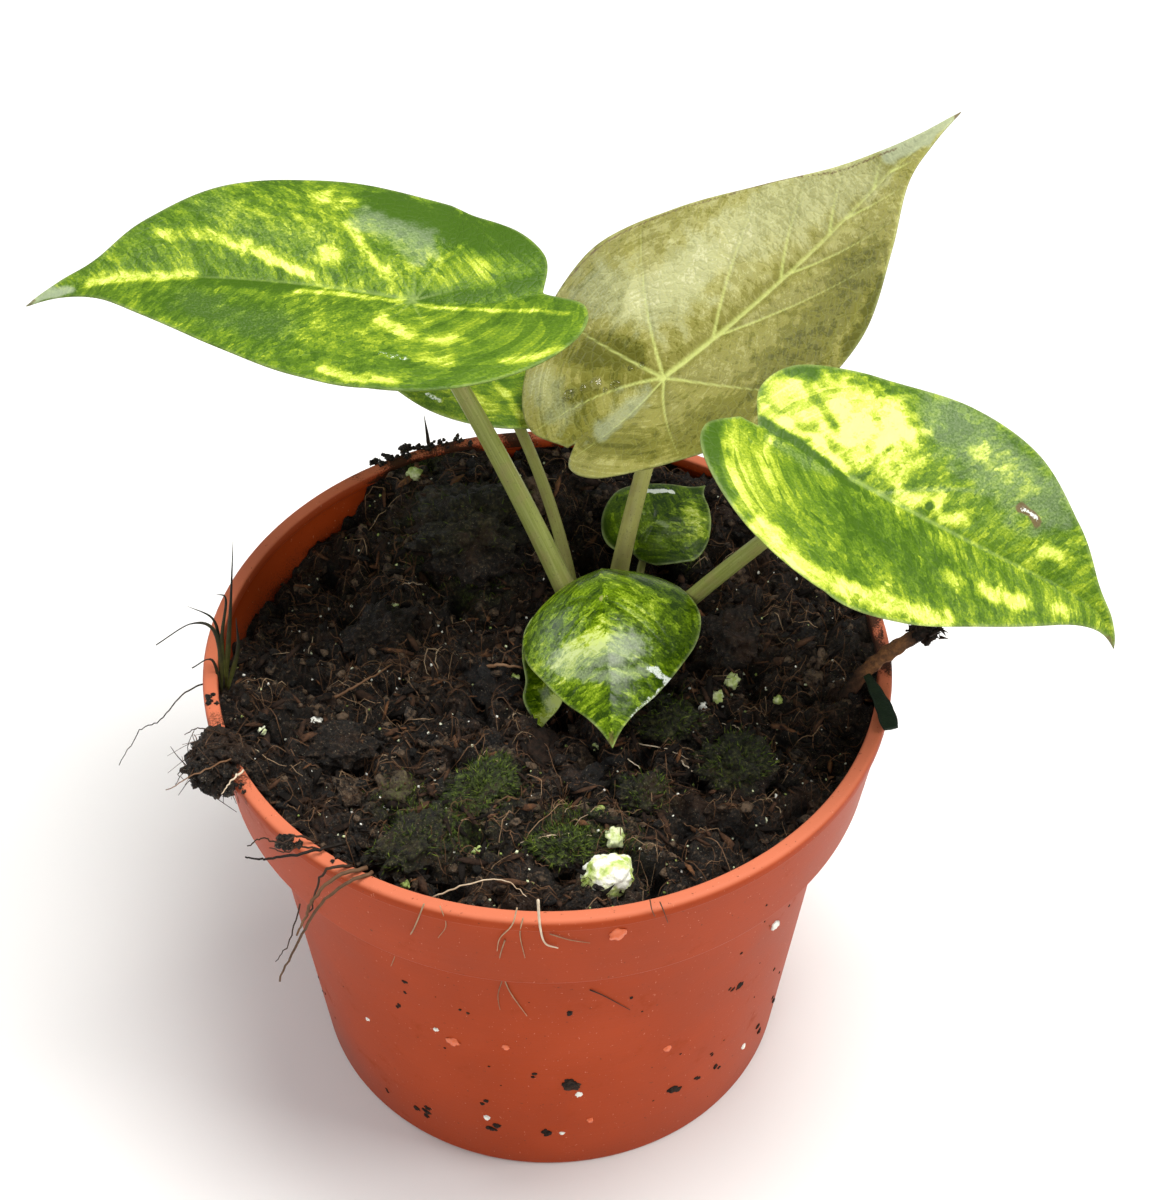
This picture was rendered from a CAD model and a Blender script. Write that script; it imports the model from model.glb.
"""The looks of a potted alocasia: seven variegated leaves in a plastic grow pot full of potting soil.

The scene is in metres, +Z up. Sizes and places in the tables are millimetres and angles are degrees, unless a
comment says otherwise. The plant's and the soil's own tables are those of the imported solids.
Pixels are those of the photograph, which is 1161 wide and 1200 high: a mark is found on the photograph and is
laid on the leaf, the soil or the pot through the fitted camera.
"""
import math
import random
from math import cos, pi, radians, sin

import bmesh
import bpy
import numpy as np
from mathutils import Matrix, Vector, noise
from mathutils.geometry import delaunay_2d_cdt


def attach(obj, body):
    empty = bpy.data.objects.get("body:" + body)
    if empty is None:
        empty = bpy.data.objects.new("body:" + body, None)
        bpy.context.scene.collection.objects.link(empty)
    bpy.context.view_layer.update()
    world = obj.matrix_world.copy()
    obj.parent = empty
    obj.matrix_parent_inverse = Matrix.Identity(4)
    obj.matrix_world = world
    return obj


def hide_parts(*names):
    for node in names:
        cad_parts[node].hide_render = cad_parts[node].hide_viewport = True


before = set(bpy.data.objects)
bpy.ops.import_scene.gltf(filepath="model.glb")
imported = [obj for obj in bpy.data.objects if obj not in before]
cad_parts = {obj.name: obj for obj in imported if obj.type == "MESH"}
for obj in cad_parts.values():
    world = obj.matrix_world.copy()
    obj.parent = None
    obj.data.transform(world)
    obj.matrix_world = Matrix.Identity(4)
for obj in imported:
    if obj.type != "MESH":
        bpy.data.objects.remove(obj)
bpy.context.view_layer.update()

MM = 0.001

# Camera, fitted to the photograph
PICTURE = (1161, 1200)
CAMERA_PLACE = (0.55, -289.5, 384.7)
CAMERA_TILT = 44.09
CAMERA_PAN = -1.00
CAMERA_ROLL = 0.316
FOCAL_PIXELS = 2354.6
SENSOR = 36.0

# Pot
POT_HEIGHT = 92.0
RIM_RADIUS = 60.0
LIP_WIDTH = 2.6
LIP_DEPTH = 2.4
COLLAR_HEIGHT = 19.5
COLLAR_FOOT_RADIUS = 57.4
BODY_TOP_RADIUS = 52.6
BASE_RADIUS = 45.0
WALL = 1.2
FLOOR = 1.6
STEP_DROP = 1.2
DRAIN_COUNT = 8
DRAIN_RADIUS = 3.5
DRAIN_RING = 33.0
DRAIN_TURN = 0.37
POT_STEPS = 192
POT_WOBBLE = 0.12

# Soil: mean level, then the mounds and hollows as (x, y, height, spread)
SOIL_LEVEL = 84.5
SOIL_GAP = 0.3
SOIL_HIGHEST = POT_HEIGHT - LIP_DEPTH - SOIL_GAP
SOIL_FORMS = (
    (-13, 21, -7.0, 8),         # dark hollow left of the crown
    (-50, 26, -4.5, 13),        # sunken edge where the pot's inner wall shows
    (-15, 41, 3.5, 12),         # mossy lump at the back
    (-16, -34, 3.0, 9),         # mossy bark ridge at the front
    (6, -46, 3.0, 16),          # front
    (51, -10, -3.5, 11),        # shaded dip at the right wall
    (0, -7, -3.5, 6),           # below the small folded leaf
    (10, 54, 3.0, 14),          # back
    (-54, -14, 3.5, 13),        # under the clump at the left rim
    (10, 14, -2.5, 12),         # around the crown
    (32, -24, 2.0, 9),          # mossy lump at the right
)
CRUMB_HEIGHT = 1.5
CRUMB_SIZE = 8.0
SOIL_SPACING = 0.62
SOIL_RIM_STEPS = 420
SOIL_EDGE_GAP = 0.1             # between the shown soil's edge and the wall

# Leaves
BLADE = 0.7
MIDRIB_BACK = -0.62
MIDRIB_FRONT = 1.02
MIDRIB_STEPS = 164
TIP_BEND_START = 0.66
TIP_BEND_POWER = 1.5
TAPER_START = 0.60
TAPER_SPAN = 0.25
SHOULDER_START = -0.34
SHOULDER_END = 0.80
HALF_OUTLINE = (
    (1.00, 0.000), (0.90, 0.028), (0.80, 0.073), (0.68, 0.166), (0.50, 0.285), (0.27, 0.378),
    (0.03, 0.405), (-0.18, 0.348), (-0.345, 0.236), (-0.40, 0.112), (-0.34, 0.000),
)
# seat is where the petiole meets the blade, knee is the petiole's point halfway up, root is where it enters
# the soil and thick is its diameter at the soil and at the blade. heading, rise and roll set the blade's
# direction at the seat. Pairs are (left, right) of the midrib. droop and sway are (lobes, front, tip),
# twist is (lobes, front).
LEAVES = {
    "left": dict(
        seat=(-22.3, 28.5, 146.7), knee=(-5.9, 18.9, 114.2), root=(9.0, 7.0), thick=(4.8, 2.8),
        heading=166, rise=3, roll=-5,
        length=65.8, width=(0.99, 1.03), lobe=(1.0, 0.99), taper=(1.24, 0.86), shoulder=(0.0, 0.04),
        droop=(-14, -3, 28), sway=(-100, 27, 8), twist=(-1, -6), fold=(16, 13), curl=(35, 64)),
    "hidden": dict(
        seat=(-10.9, 56.8, 113.5), knee=(0.2, 35.2, 96.0), root=(5.5, 14.0), thick=(2.6, 2.0),
        heading=158, rise=13, roll=5,
        length=53.2, width=(1.0, 1.0), lobe=(1.0, 1.0), taper=(1.0, 1.0), shoulder=(-0.03, 0.0),
        droop=(6, 18, 18), sway=(-8, 1, 0), twist=(2, 3), fold=(9, 9), curl=(34, 34)),
    "back": dict(
        seat=(20.6, 33.6, 125.7), knee=(15.4, 24.5, 102.7), root=(11.0, 15.0), thick=(3.8, 2.8),
        heading=16, rise=35, roll=6,
        length=68.1, width=(1.01, 1.02), lobe=(0.91, 0.83), taper=(0.67, 1.05), shoulder=(-0.055, 0.067),
        droop=(-27, -22, 29), sway=(-15, -1, 5), twist=(20, 11), fold=(19, 20), curl=(38, 45)),
    "right": dict(
        seat=(48.6, -6.1, 136.9), knee=(33.5, 3.3, 111.3), root=(14.5, 9.5), thick=(3.4, 2.6),
        heading=-12, rise=-28, roll=9,
        length=56.1, width=(1.01, 1.01), lobe=(0.90, 1.06), taper=(0.95, 1.09), shoulder=(0.05, -0.04),
        droop=(36, -7, 56), sway=(37, 0, -11), twist=(-6, 26), fold=(15, 10), curl=(30, 26)),
    "round": dict(
        seat=(19.8, 31.9, 93.2), knee=(17.0, 25.4, 86.6), root=(15.5, 17.5), thick=(1.8, 1.3),
        heading=47, rise=2, roll=15,
        length=15.3, width=(1.60, 1.68), lobe=(1.5, 1.62), taper=(1.25, 1.18), shoulder=(0.0, 0.0),
        droop=(9, 19, -21), sway=(-44, 1, -1), twist=(1, -15), fold=(9, 9), curl=(44, 46)),
    "domed": dict(
        seat=(9.6, 0.7, 104.1), knee=(11.3, 2.2, 91.0), root=(12.0, 2.0), thick=(2.6, 1.9),
        heading=-88, rise=-2, roll=3,
        length=28.5, width=(1.50, 1.51), lobe=(1.3, 1.14), taper=(1.38, 1.51), shoulder=(0.0, 0.0),
        droop=(97, 34, 5), sway=(0, -2, 2), twist=(1, -1), fold=(-6, -16), curl=(36, 53)),
    "folded": dict(
        seat=(0.4, 3.6, 90.9), knee=(3.9, 3.4, 86.0), root=(5.8, 1.8), thick=(1.8, 1.3),
        heading=-98, rise=-22, roll=0,
        length=16.5, width=(0.8, 0.75), lobe=(0.8, 0.8), taper=(3.4, 3.4), shoulder=(0.0, 0.0),
        droop=(20, 10, 10), sway=(0, 0, 0), twist=(0, 0), fold=(22, 22), curl=(-20, -20)),
}

# Fine form of the leaves
LARGE_LENGTH = 40.0             # a longer blade is meshed at the first spacing, a shorter one at the second
LEAF_SPACING = (0.46, 0.30)
MARGIN_STEPS = (22, 16)
THIN_EDGE = 0.24                # thickness at the margin
FULL_THICKNESS = 0.55
EDGE_REACH = 1.6                # how far in from the margin the blade reaches its full thickness
QUILT = 0.24                    # how far the blade bulges between its veins
QUILT_REACH = 2.6
GROOVE = 0.14
RIDGE = 0.42                    # how far a side vein stands out below
MIDRIB_RIDGE = 1.05
SMALL_SCALE = 0.45              # size of a small blade's fine form next to a large one's
INNER_REACH = 3.5               # how far in from the margin the bulges are full
RIPPLE = (0.10, 3.2)            # height and length of the fine ripples
MARGIN_WAVE = (0.16, 9.0, 3.0)  # height and length of the margin's waves, and how far in they reach
RAGGED = (0.7, 2.2)             # how ragged a mark's border is, and over what length
LIGHT_EDGE = 0.28               # half width of the light margin
# Side veins: where one leaves the midrib as a share of the length, its bearing there, and its turn over 10 mm
VEINS = (
    (0.0, 152, -14), (0.0, 118, 10), (0.0, 84, 22), (0.0, 56, 8), (0.17, 60, 14), (0.35, 58, 16),
    (0.52, 54, 18), (0.67, 48, 18), (0.80, 42, 20), (0.90, 36, 20),
)
# The back leaf's veins, seen one by one: first those to the left of its midrib, then those to its right
BACK_VEINS = (
    ((0.0, 150, -12), (0.0, 118, 4), (0.0, 76, 6), (0.16, 44, 8), (0.39, 46, 14), (0.56, 42, 14),
     (0.72, 36, 14)),
    ((0.0, 152, -14), (0.0, 108, 8), (0.0, 58, 4), (0.18, 33, 5), (0.42, 36, 10), (0.62, 32, 12),
     (0.78, 28, 12)),
)
# Starts of the side veins that a small blade doesn't have
SMALL_SKIPS = (0.17, 0.52, 0.80, 0.90)
SMALL_VEINS = 0.6               # width of a small blade's veins next to a large one's
VEIN_STEP = 0.8
VEIN_END = 0.9                  # a vein stops this far from the margin
VEIN_WIDTH = (0.40, 0.15)       # half width of a side vein at its start and at its end
MIDRIB_WIDTH = (0.80, 0.22)
VEIN_FADE = 14.0                # how far from the seat the veins' first strength lasts
# The grain runs with the veins: the slope and bend of its lines, and how soon they fan out behind the seat
GRAIN_SLOPE = 0.62
GRAIN_BEND = 0.010
GRAIN_FAN = 18.0

# Each leaf's finish: its paint, its paleness before its marks (0 is dark green and 1 is pale yellow), how
# strongly the midrib, the veins near the seat and the far veins show, and how light the margin is
FINISH = {
    "left": ("green", 0.35, (0.45, 0.52, 0.05), 0.25),
    "hidden": ("green", 0.41, (0.60, 0.40, 0.10), 0.45),
    "back": ("bronze", 0.44, (0.85, 0.85, 0.80), 0.20),
    "right": ("green", 0.40, (0.50, 0.22, 0.06), 0.40),
    "round": ("small", 0.27, (0.15, 0.15, 0.05), 0.55),
    "domed": ("small", 0.38, (0.20, 0.30, 0.06), 0.55),
    "folded": ("small", 0.38, (0.20, 0.20, 0.06), 0.55),
}

# Marks on the leaves, by kind: strength, half width, then x and y of each pixel of its path on the
# photograph. pale marks add to the paleness or take from it, sheen is a soft grey gloss, glint is a hard
# white one, and brown is a dry place.
MARKS = {
    "left": {
        "pale": (
            (0.34, 1.2, 90, 284, 140, 277, 193, 275), (-0.26, 1.5, 203, 279, 245, 283, 290, 288),
            (0.3, 0.8, 296, 291, 345, 295, 400, 302),
            (0.24, 1.2, 160, 236, 220, 239, 260, 250, 300, 270, 340, 290),
            (0.22, 0.8, 233, 247, 265, 257, 300, 273), (0.26, 0.8, 403, 300, 378, 265, 347, 223),
            (0.16, 0.7, 420, 290, 440, 262, 470, 240), (0.32, 1.5, 323, 256, 334, 260),
            (-0.16, 1.6, 417, 299, 480, 294, 540, 283), (0.3, 0.6, 417, 304, 480, 309, 540, 311, 567, 315),
            (-0.3, 4.6, 385, 208, 440, 222, 500, 240, 525, 256), (0.14, 2.6, 395, 265, 430, 258),
            (0.16, 2.6, 450, 277, 490, 265, 528, 264), (0.3, 1.6, 324, 197, 354, 204),
            (0.08, 4.5, 245, 220, 300, 218, 340, 232), (-0.16, 4.0, 180, 300, 240, 315, 285, 335),
            (0.12, 3.6, 300, 325, 380, 330, 470, 330), (0.22, 1.5, 300, 338, 311, 343),
            (0.22, 1.5, 380, 320, 405, 335), (0.22, 1.1, 430, 340, 465, 340), (0.22, 1.5, 425, 358, 440, 362),
            (0.34, 0.9, 320, 370, 355, 378, 390, 382), (0.3, 0.9, 505, 362, 535, 357, 560, 350),
        ),
        "sheen": (
            (0.42, 3.2, 368, 222, 410, 236, 425, 250), (0.16, 4.0, 215, 205, 250, 228, 310, 240),
            (0.16, 4.0, 190, 300, 240, 318, 280, 325), (0.9, 1.2, 26, 304, 50, 296, 68, 290),
        ),
        "glint": (
            (0.75, 0.9, 378, 352, 404, 358),
        ),
        "brown": (
            (0.5, 0.6, 26, 305, 34, 302),
        ),
    },
    "hidden": {
        "pale": (
            (0.26, 0.9, 495, 382, 510, 402, 525, 425), (0.2, 1.6, 470, 395, 486, 405),
        ),
        "glint": (
            (0.9, 0.8, 428, 395, 440, 400),
        ),
    },
    "back": {
        "pale": (
            (0.2, 8.0, 660, 290, 740, 240, 830, 190), (0.14, 3.0, 640, 300, 690, 275, 740, 235),
            (-0.2, 5.5, 855, 270, 830, 320, 780, 365), (-0.3, 1.6, 884, 285, 868, 325, 848, 352),
            (-0.26, 2.8, 592, 350, 632, 350), (-0.2, 3.5, 570, 400, 600, 440, 640, 450),
            (-0.16, 5.0, 685, 440, 735, 405), (-0.14, 3.0, 560, 350, 600, 366, 640, 372),
        ),
        "sheen": (
            (0.52, 3.2, 606, 430, 622, 416, 636, 404), (0.38, 3.4, 543, 382, 560, 412),
            (0.42, 6.0, 600, 290, 660, 300, 700, 260), (0.38, 6.0, 740, 235, 800, 200, 860, 170),
            (0.95, 1.6, 890, 156, 920, 138, 950, 119),
        ),
        "glint": (
            (0.62, 1.1, 602, 436, 616, 424, 630, 408),
        ),
        "brown": (
            (0.55, 0.24, 560, 284, 604, 244, 669, 213, 733, 194, 787, 179, 840, 170, 897, 149),
            (0.6, 0.5, 956, 117, 961, 114),
        ),
    },
    "right": {
        "pale": (
            (0.4, 4.8, 792, 395, 840, 408, 890, 415), (0.3, 4.0, 850, 440, 885, 462, 905, 445),
            (-0.5, 1.4, 790, 369, 812, 374), (-0.24, 0.9, 806, 385, 822, 410, 838, 432),
            (-0.45, 0.8, 857, 487, 825, 462, 790, 437, 760, 420), (0.3, 1.0, 765, 410, 805, 438, 846, 469),
            (-0.3, 0.5, 862, 477, 890, 445), (-0.14, 2.6, 885, 385, 918, 402),
            (-0.14, 4.0, 950, 430, 1000, 450, 1050, 510), (0.3, 1.8, 978, 452, 1005, 470, 1025, 482),
            (0.34, 1.4, 902, 499, 935, 503), (0.34, 0.9, 942, 518, 964, 520),
            (-0.9, 0.45, 929, 505, 931, 506), (-0.34, 1.6, 716, 428, 709, 460, 722, 496),
            (0.2, 3.8, 742, 445, 752, 495), (-0.18, 5.2, 862, 522, 900, 550, 935, 577),
            (0.34, 1.4, 948, 575, 955, 582), (0.34, 1.4, 985, 592, 1022, 604),
            (0.3, 1.1, 1045, 552, 1058, 555), (0.3, 1.1, 1058, 608, 1068, 613),
            (0.36, 1.7, 760, 528, 813, 573, 880, 602, 947, 621),
        ),
        "sheen": (
            (0.24, 1.4, 770, 440, 800, 458, 825, 472), (0.3, 0.5, 880, 492, 960, 490, 1030, 505),
            (0.34, 6.0, 950, 420, 1000, 465, 1040, 500),
        ),
        "glint": (
            (1.0, 0.6, 1024, 510, 1030, 513, 1035, 519),
        ),
        "brown": (
            (0.8, 0.9, 1022, 509, 1029, 513, 1036, 521), (0.5, 0.8, 1108, 640, 1114, 652),
        ),
    },
    "round": {
        "pale": (
            (0.36, 1.7, 690, 512, 699, 530), (0.12, 3.0, 640, 520, 690, 545),
        ),
        "sheen": (
            (0.5, 0.6, 659, 522, 666, 526),
        ),
        "glint": (
            (1.3, 0.7, 645, 491, 671, 492),
        ),
    },
    "domed": {
        "pale": (
            (0.14, 2.2, 560, 670, 590, 650, 610, 622), (0.22, 2.6, 568, 655, 598, 640),
            (0.05, 4.2, 640, 600, 672, 622, 640, 640), (-0.1, 3.0, 655, 690, 612, 700),
            (-0.12, 2.2, 672, 660, 688, 625, 676, 596),
        ),
        "sheen": (
            (0.55, 3.0, 562, 660, 600, 655, 630, 645), (0.5, 1.2, 560, 672, 590, 676, 620, 676, 648, 670),
            (0.8, 0.4, 635, 646, 638, 649),
        ),
        "glint": (
            (1.05, 0.9, 652, 670, 670, 682), (0.85, 0.6, 632, 718, 663, 692), (0.6, 0.6, 564, 699, 574, 708),
        ),
        "brown": (
            (0.45, 0.7, 611, 735, 612, 743),
        ),
    },
    "folded": {
        "pale": (
            (-0.15, 2.0, 530, 670, 533, 715), (0.5, 1.8, 540, 718, 556, 704),
        ),
        "sheen": (
            (0.5, 1.0, 545, 692, 549, 708),
        ),
    },
}

# Light and floor
WORLD_COLOUR = (0.93, 0.96, 1.0)
WORLD_STRENGTH = 0.36
FLOOR_COLOUR = (0.86, 0.86, 0.85)
FLOOR_SIZE = 4.0
# name: (place in metres, side in metres, power in watts, colour), each aimed at the plant
LAMPS = {
    "top": ((0.16, 0.08, 0.95), 0.52, 10.3, (1.0, 0.98, 0.94)),
    "window": ((-0.85, 0.55, 0.50), 0.40, 2.2, (0.95, 0.98, 1.0)),
    "right": ((0.80, -0.20, 0.60), 0.35, 3.6, (1.0, 0.98, 0.95)),
    "front": ((-0.25, -0.95, 0.50), 0.60, 3.5, (1.0, 0.97, 0.93)),
}
LAMP_AIM = (0.0, 0.0, 0.09)

# Colours, linear. A palette says from which value each of its colours holds.
GREENS = (
    (0.00, (0.042, 0.098, 0.003)), (0.27, (0.068, 0.138, 0.005)), (0.36, (0.102, 0.186, 0.008)),
    (0.44, (0.152, 0.240, 0.009)), (0.52, (0.245, 0.335, 0.016)), (0.61, (0.385, 0.470, 0.036)),
    (0.71, (0.550, 0.660, 0.110)), (0.84, (0.720, 0.800, 0.210)),
)
DEEP_GREENS = (
    (0.00, (0.018, 0.044, 0.000)), (0.25, (0.042, 0.084, 0.000)), (0.35, (0.074, 0.134, 0.001)),
    (0.44, (0.115, 0.200, 0.003)), (0.53, (0.200, 0.300, 0.010)), (0.64, (0.360, 0.460, 0.040)),
    (0.78, (0.540, 0.640, 0.170)),
)
BRONZES = (
    (0.00, (0.090, 0.090, 0.010)), (0.25, (0.160, 0.154, 0.024)), (0.39, (0.250, 0.236, 0.056)),
    (0.52, (0.355, 0.338, 0.112)), (0.66, (0.480, 0.464, 0.190)), (0.84, (0.640, 0.615, 0.320)),
)
SHEEN_COLOUR = (0.40, 0.46, 0.32)
GLINT_COLOUR = (0.78, 0.84, 0.78)
BROWN_COLOUR = (0.120, 0.070, 0.035)
MARGIN_COLOUR = (0.50, 0.60, 0.24)

PETIOLE_ROOT = 10.0
PETIOLE_PALENESS = {"back": 0.60, "hidden": 0.30, "round": 0.30}
PETIOLE_SPANS = 30
PETIOLE_SIDES = 28
PETIOLE_TAPER = 0.7
PETIOLE_FOOT_FLARE = 0.42       # how much wider a petiole is at the soil
PETIOLE_FLARE_REACH = 6.0
PETIOLE_RIBS = (0.012, 7)       # depth of the ribs as a share of the radius, and their number
PETIOLE_GROOVE = (0.06, 0.35)   # depth of the groove as a share of the radius, and its half angle

STEP_TOP = POT_HEIGHT - COLLAR_HEIGHT
STEP_FOOT = STEP_TOP - STEP_DROP
INNER_STEP_TOP = STEP_TOP + WALL
INNER_STEP_FOOT = STEP_FOOT + WALL

# Each leaf paint: its palette, the colours of its veins and its underside, its roughness and shine, how
# strongly its flecks, wrinkles and net show, and the depth of its fine form in mm
LEAF_PAINTS = {
    "green": (GREENS, (0.38, 0.49, 0.15), (0.22, 0.30, 0.08), 0.42, 0.14, 1.0, 0.10, 0.02, 0.16),
    "small": (DEEP_GREENS, (0.24, 0.36, 0.05), (0.10, 0.16, 0.04), 0.26, 0.20, 1.25, 0.10, 0.0, 0.03),
    "bronze": (BRONZES, (0.56, 0.62, 0.19), (0.24, 0.21, 0.08), 0.34, 0.20, 0.50, 0.36, 0.07, 0.14),
}
# Each paint for small bits: its name, the scale of its texture, its roughness, the depth of its bumps in mm,
# how far the texture shifts the colour, and its colours by tint
BIT_PAINTS = {
    "perlite": ("perlite", 0.5, 0.7, 0.35, 0.7, (
        (0.20, (0.07, 0.10, 0.02)), (0.38, (0.36, 0.45, 0.12)), (0.52, (0.66, 0.70, 0.46)),
        (0.75, (0.88, 0.88, 0.80)),
    )),
    "big_perlite": ("big_perlite", 0.28, 0.6, 0.35, 1.5, (
        (0.18, (0.030, 0.035, 0.010)), (0.26, (0.30, 0.42, 0.06)), (0.42, (0.60, 0.68, 0.30)),
        (0.54, (0.84, 0.85, 0.74)),
    )),
    "bark": ("bark", 1.0, 0.8, 0.5, 0.7, (
        (0.20, (0.006, 0.0035, 0.002)), (0.45, (0.028, 0.014, 0.008)), (0.70, (0.085, 0.040, 0.020)),
        (0.95, (0.260, 0.110, 0.040)),
    )),
    "fibre": ("fibre", 0.5, 0.6, 0.08, 0.35, (
        (0.10, (0.008, 0.005, 0.003)), (0.40, (0.045, 0.022, 0.011)), (0.65, (0.170, 0.088, 0.044)),
        (0.85, (0.420, 0.290, 0.170)), (1.0, (0.66, 0.56, 0.42)),
    )),
    "moss": ("moss", 0.7, 0.7, 0.1, 0.7, (
        (0.10, (0.010, 0.018, 0.003)), (0.42, (0.055, 0.090, 0.010)), (0.70, (0.150, 0.205, 0.025)),
        (0.95, (0.400, 0.480, 0.110)),
    )),
    "strip": ("leaf_scrap", 0.8, 0.45, 0.15, 0.7, (
        (0.20, (0.004, 0.010, 0.005)), (0.55, (0.009, 0.021, 0.009)), (0.90, (0.034, 0.050, 0.024)),
    )),
    "sprout": ("sprout", 0.8, 0.6, 0.1, 0.5, (
        (0.10, (0.012, 0.012, 0.010)), (0.45, (0.036, 0.036, 0.014)), (0.75, (0.085, 0.090, 0.020)),
        (1.0, (0.160, 0.170, 0.040)),
    )),
    "drop": ("pot_drop", 0.8, 0.12, 0.02, 0.7, (
        (0.2, (0.60, 0.11, 0.035)), (0.8, (0.80, 0.20, 0.09)),
    )),
}
CRUMB_LIGHTNESS = 1.3           # how light the loose crumbs are next to the soil

# Soil smeared on the rim: the direction in degrees and its half width
RIM_SMEARS = ((-157, 9), (120, 7), (109, 6), (97, 4), (-3, 6), (12, 10), (40, 12))

# Heaps that only the shown soil has: (x, y, height, spread)
SOIL_HEAPS = ((46, 29, 5.5, 9), (27, 46, 3.5, 9), (-22, 47, 3.0, 8), (-24, 51, 4.0, 6), (-52, -25, 2.5, 7),
              (56, 4, 7.0, 7),
              (51, -9, 6.0, 5))
SOIL_CEILING = 91.0
# The shown soil's roughness: size and height of its clods, ridges and pits, and how far it lies higher
CLOD_FORM = (7.5, 2.2)
RIDGE_FORM = (3.1, 2.8)
PIT_FORM = (4.8, 9.0)
ROUGH_LIFT = 1.0

# Mossy places on the soil: pixel and spread in mm
MOSS_SPOTS = (
    ((450, 820), 6.0), ((490, 790), 5.0), ((420, 845), 4.0), ((570, 838), 4.5), ((606, 852), 4.5),
    ((668, 715), 5.0), ((640, 800), 4.0), ((745, 765), 4.0), ((440, 540), 6.0), ((480, 575), 4.5),
    ((390, 640), 3.0), ((400, 800), 4.0), ((420, 460), 3.0), ((690, 560), 2.5),
)
MOSS_DENSITY = 13               # strands for each square mm of a spread
MOSS_LENGTH = (0.7, 1.9)

CRUMB_COUNT = 4200
CRUMB_RANGE = (0.35, 2.4)
FLAKE_COUNT = 3200
FLAKE_RANGE = (1.0, 5.5)
CLOD_COUNT = 46
CLOD_RANGE = (4.0, 9.0)
SOIL_REACH = 56.5

FIBRE_RADIUS = (0.04, 0.10)
# How many fibres, their length, their tint and how much they turn: dark ones, pale roots, and a few straws
FIBRE_KINDS = ((1900, (2.5, 11.0), (0.15, 0.72), 0.35), (110, (4.0, 14.0), (0.62, 0.88), 0.30),
               (34, (9.0, 22.0), (0.45, 0.75), 0.06))

# Perlite and pale stones: pixel, size in mm and tint (0 green and 1 white)
STONES = (
    ((514, 679), 2.0, 0.40), ((732, 681), 2.6, 0.40), ((717, 697), 2.4, 0.42), ((704, 707), 1.8, 0.75),
    ((596, 747), 1.4, 0.45), ((474, 686), 1.8, 0.42), ((316, 722), 2.2, 0.85), ((352, 739), 1.8, 0.50),
    ((352, 726), 1.4, 0.80), ((778, 700), 1.8, 0.35), ((262, 731), 1.5, 0.55), ((394, 607), 1.6, 0.50),
    ((600, 812), 2.4, 0.30), ((614, 838), 3.4, 0.45), ((588, 866), 2.4, 0.55), ((478, 853), 2.0, 0.38),
    ((405, 885), 1.6, 0.30), ((636, 785), 1.5, 0.45), ((414, 474), 3.0, 0.40), ((764, 820), 1.2, 0.50),
)
SPECK_COUNT = 620
SPECK_RANGE = (0.18, 0.62)

# Solids that get a finer form: centre, size, turn, detail, roughness, waves, tint
LUMPS = {
    "perlite_front": ((9.5, -47.5, 88.3), (9.0, 7.4, 7.6), 15, 5, 0.16, 1.0, 0.46),
    "perlite_back": ((-25.0, 47.5, 88.5), (5.4, 4.8, 4.6), 60, 4, 0.16, 1.2, 0.36),
    "bark_piece": ((-2.5, -17.5, 84.0), (10.6, 11.4, 6.2), -35, 5, 0.26, 1.9, 0.30),
    "rim_clump": ((-55.4, -24.0, 90.2), (9.4, 11.4, 7.0), 23, 5, 0.34, 2.2, 0.20),
}
# Their paints and slots
LUMP_FINISHES = {
    "perlite_front": ("big_perlite", "perlite"),
    "perlite_back": ("big_perlite", "perlite"),
    "bark_piece": ("bark", "bark"),
    "rim_clump": ("crumbs", "soil"),
}
# Mossy clods that stand out of the soil: centre, size, turn, and how mossy they are
MOSSY_CLODS = (
    ((-14.6, 35.0), (24, 20, 16), 20, 0.20), ((-22.5, -41.0), (15, 10, 9), 40, 0.30),
    ((-11.0, -28.5), (16, 10, 8), 55, 1.0), ((31.7, -23.4), (13, 12, 9), 0, 0.45),
    ((-31.0, 12.0), (15, 10, 8), 60, 0.0), ((-36.0, -18.0), (12, 9, 7), 10, 0.0),
    ((16.0, -30.0), (9, 8, 7), 40, 0.3), ((33.0, 10.0), (14, 11, 8), 80, 0.0),
    ((3.0, -41.5), (12, 8, 6), 10, 1.0), ((21.0, -12.0), (12, 10, 8), 0, 0.5),
    ((-1.0, -1.0), (9, 8, 6), 0, 0.0),
)
CLOD_LIFT = 0.05
CLOD_MOSS = 420                 # strands on a clod that is all moss
OCTAVES = ((1.0, 1.0), (0.6, 2.4), (0.34, 5.5), (0.2, 12.0))

STICK_POINTS = ((48.8, -10.0, 82.5), (53.0, -7.6, 91.0), (57.6, -5.0, 94.9), (65.5, -0.4, 96.9))
STICK_WIDTH = 2.5
STICK_SPIKES = 60
STRIP_PIXELS = ((864, 670), (875, 690), (884, 708), (891, 729))
STRIP_LEVEL = 93.2
STRIP_WIDTHS = (1.0, 2.2, 3.2, 2.6)
STRIP_THICKNESS = 0.5

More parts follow.
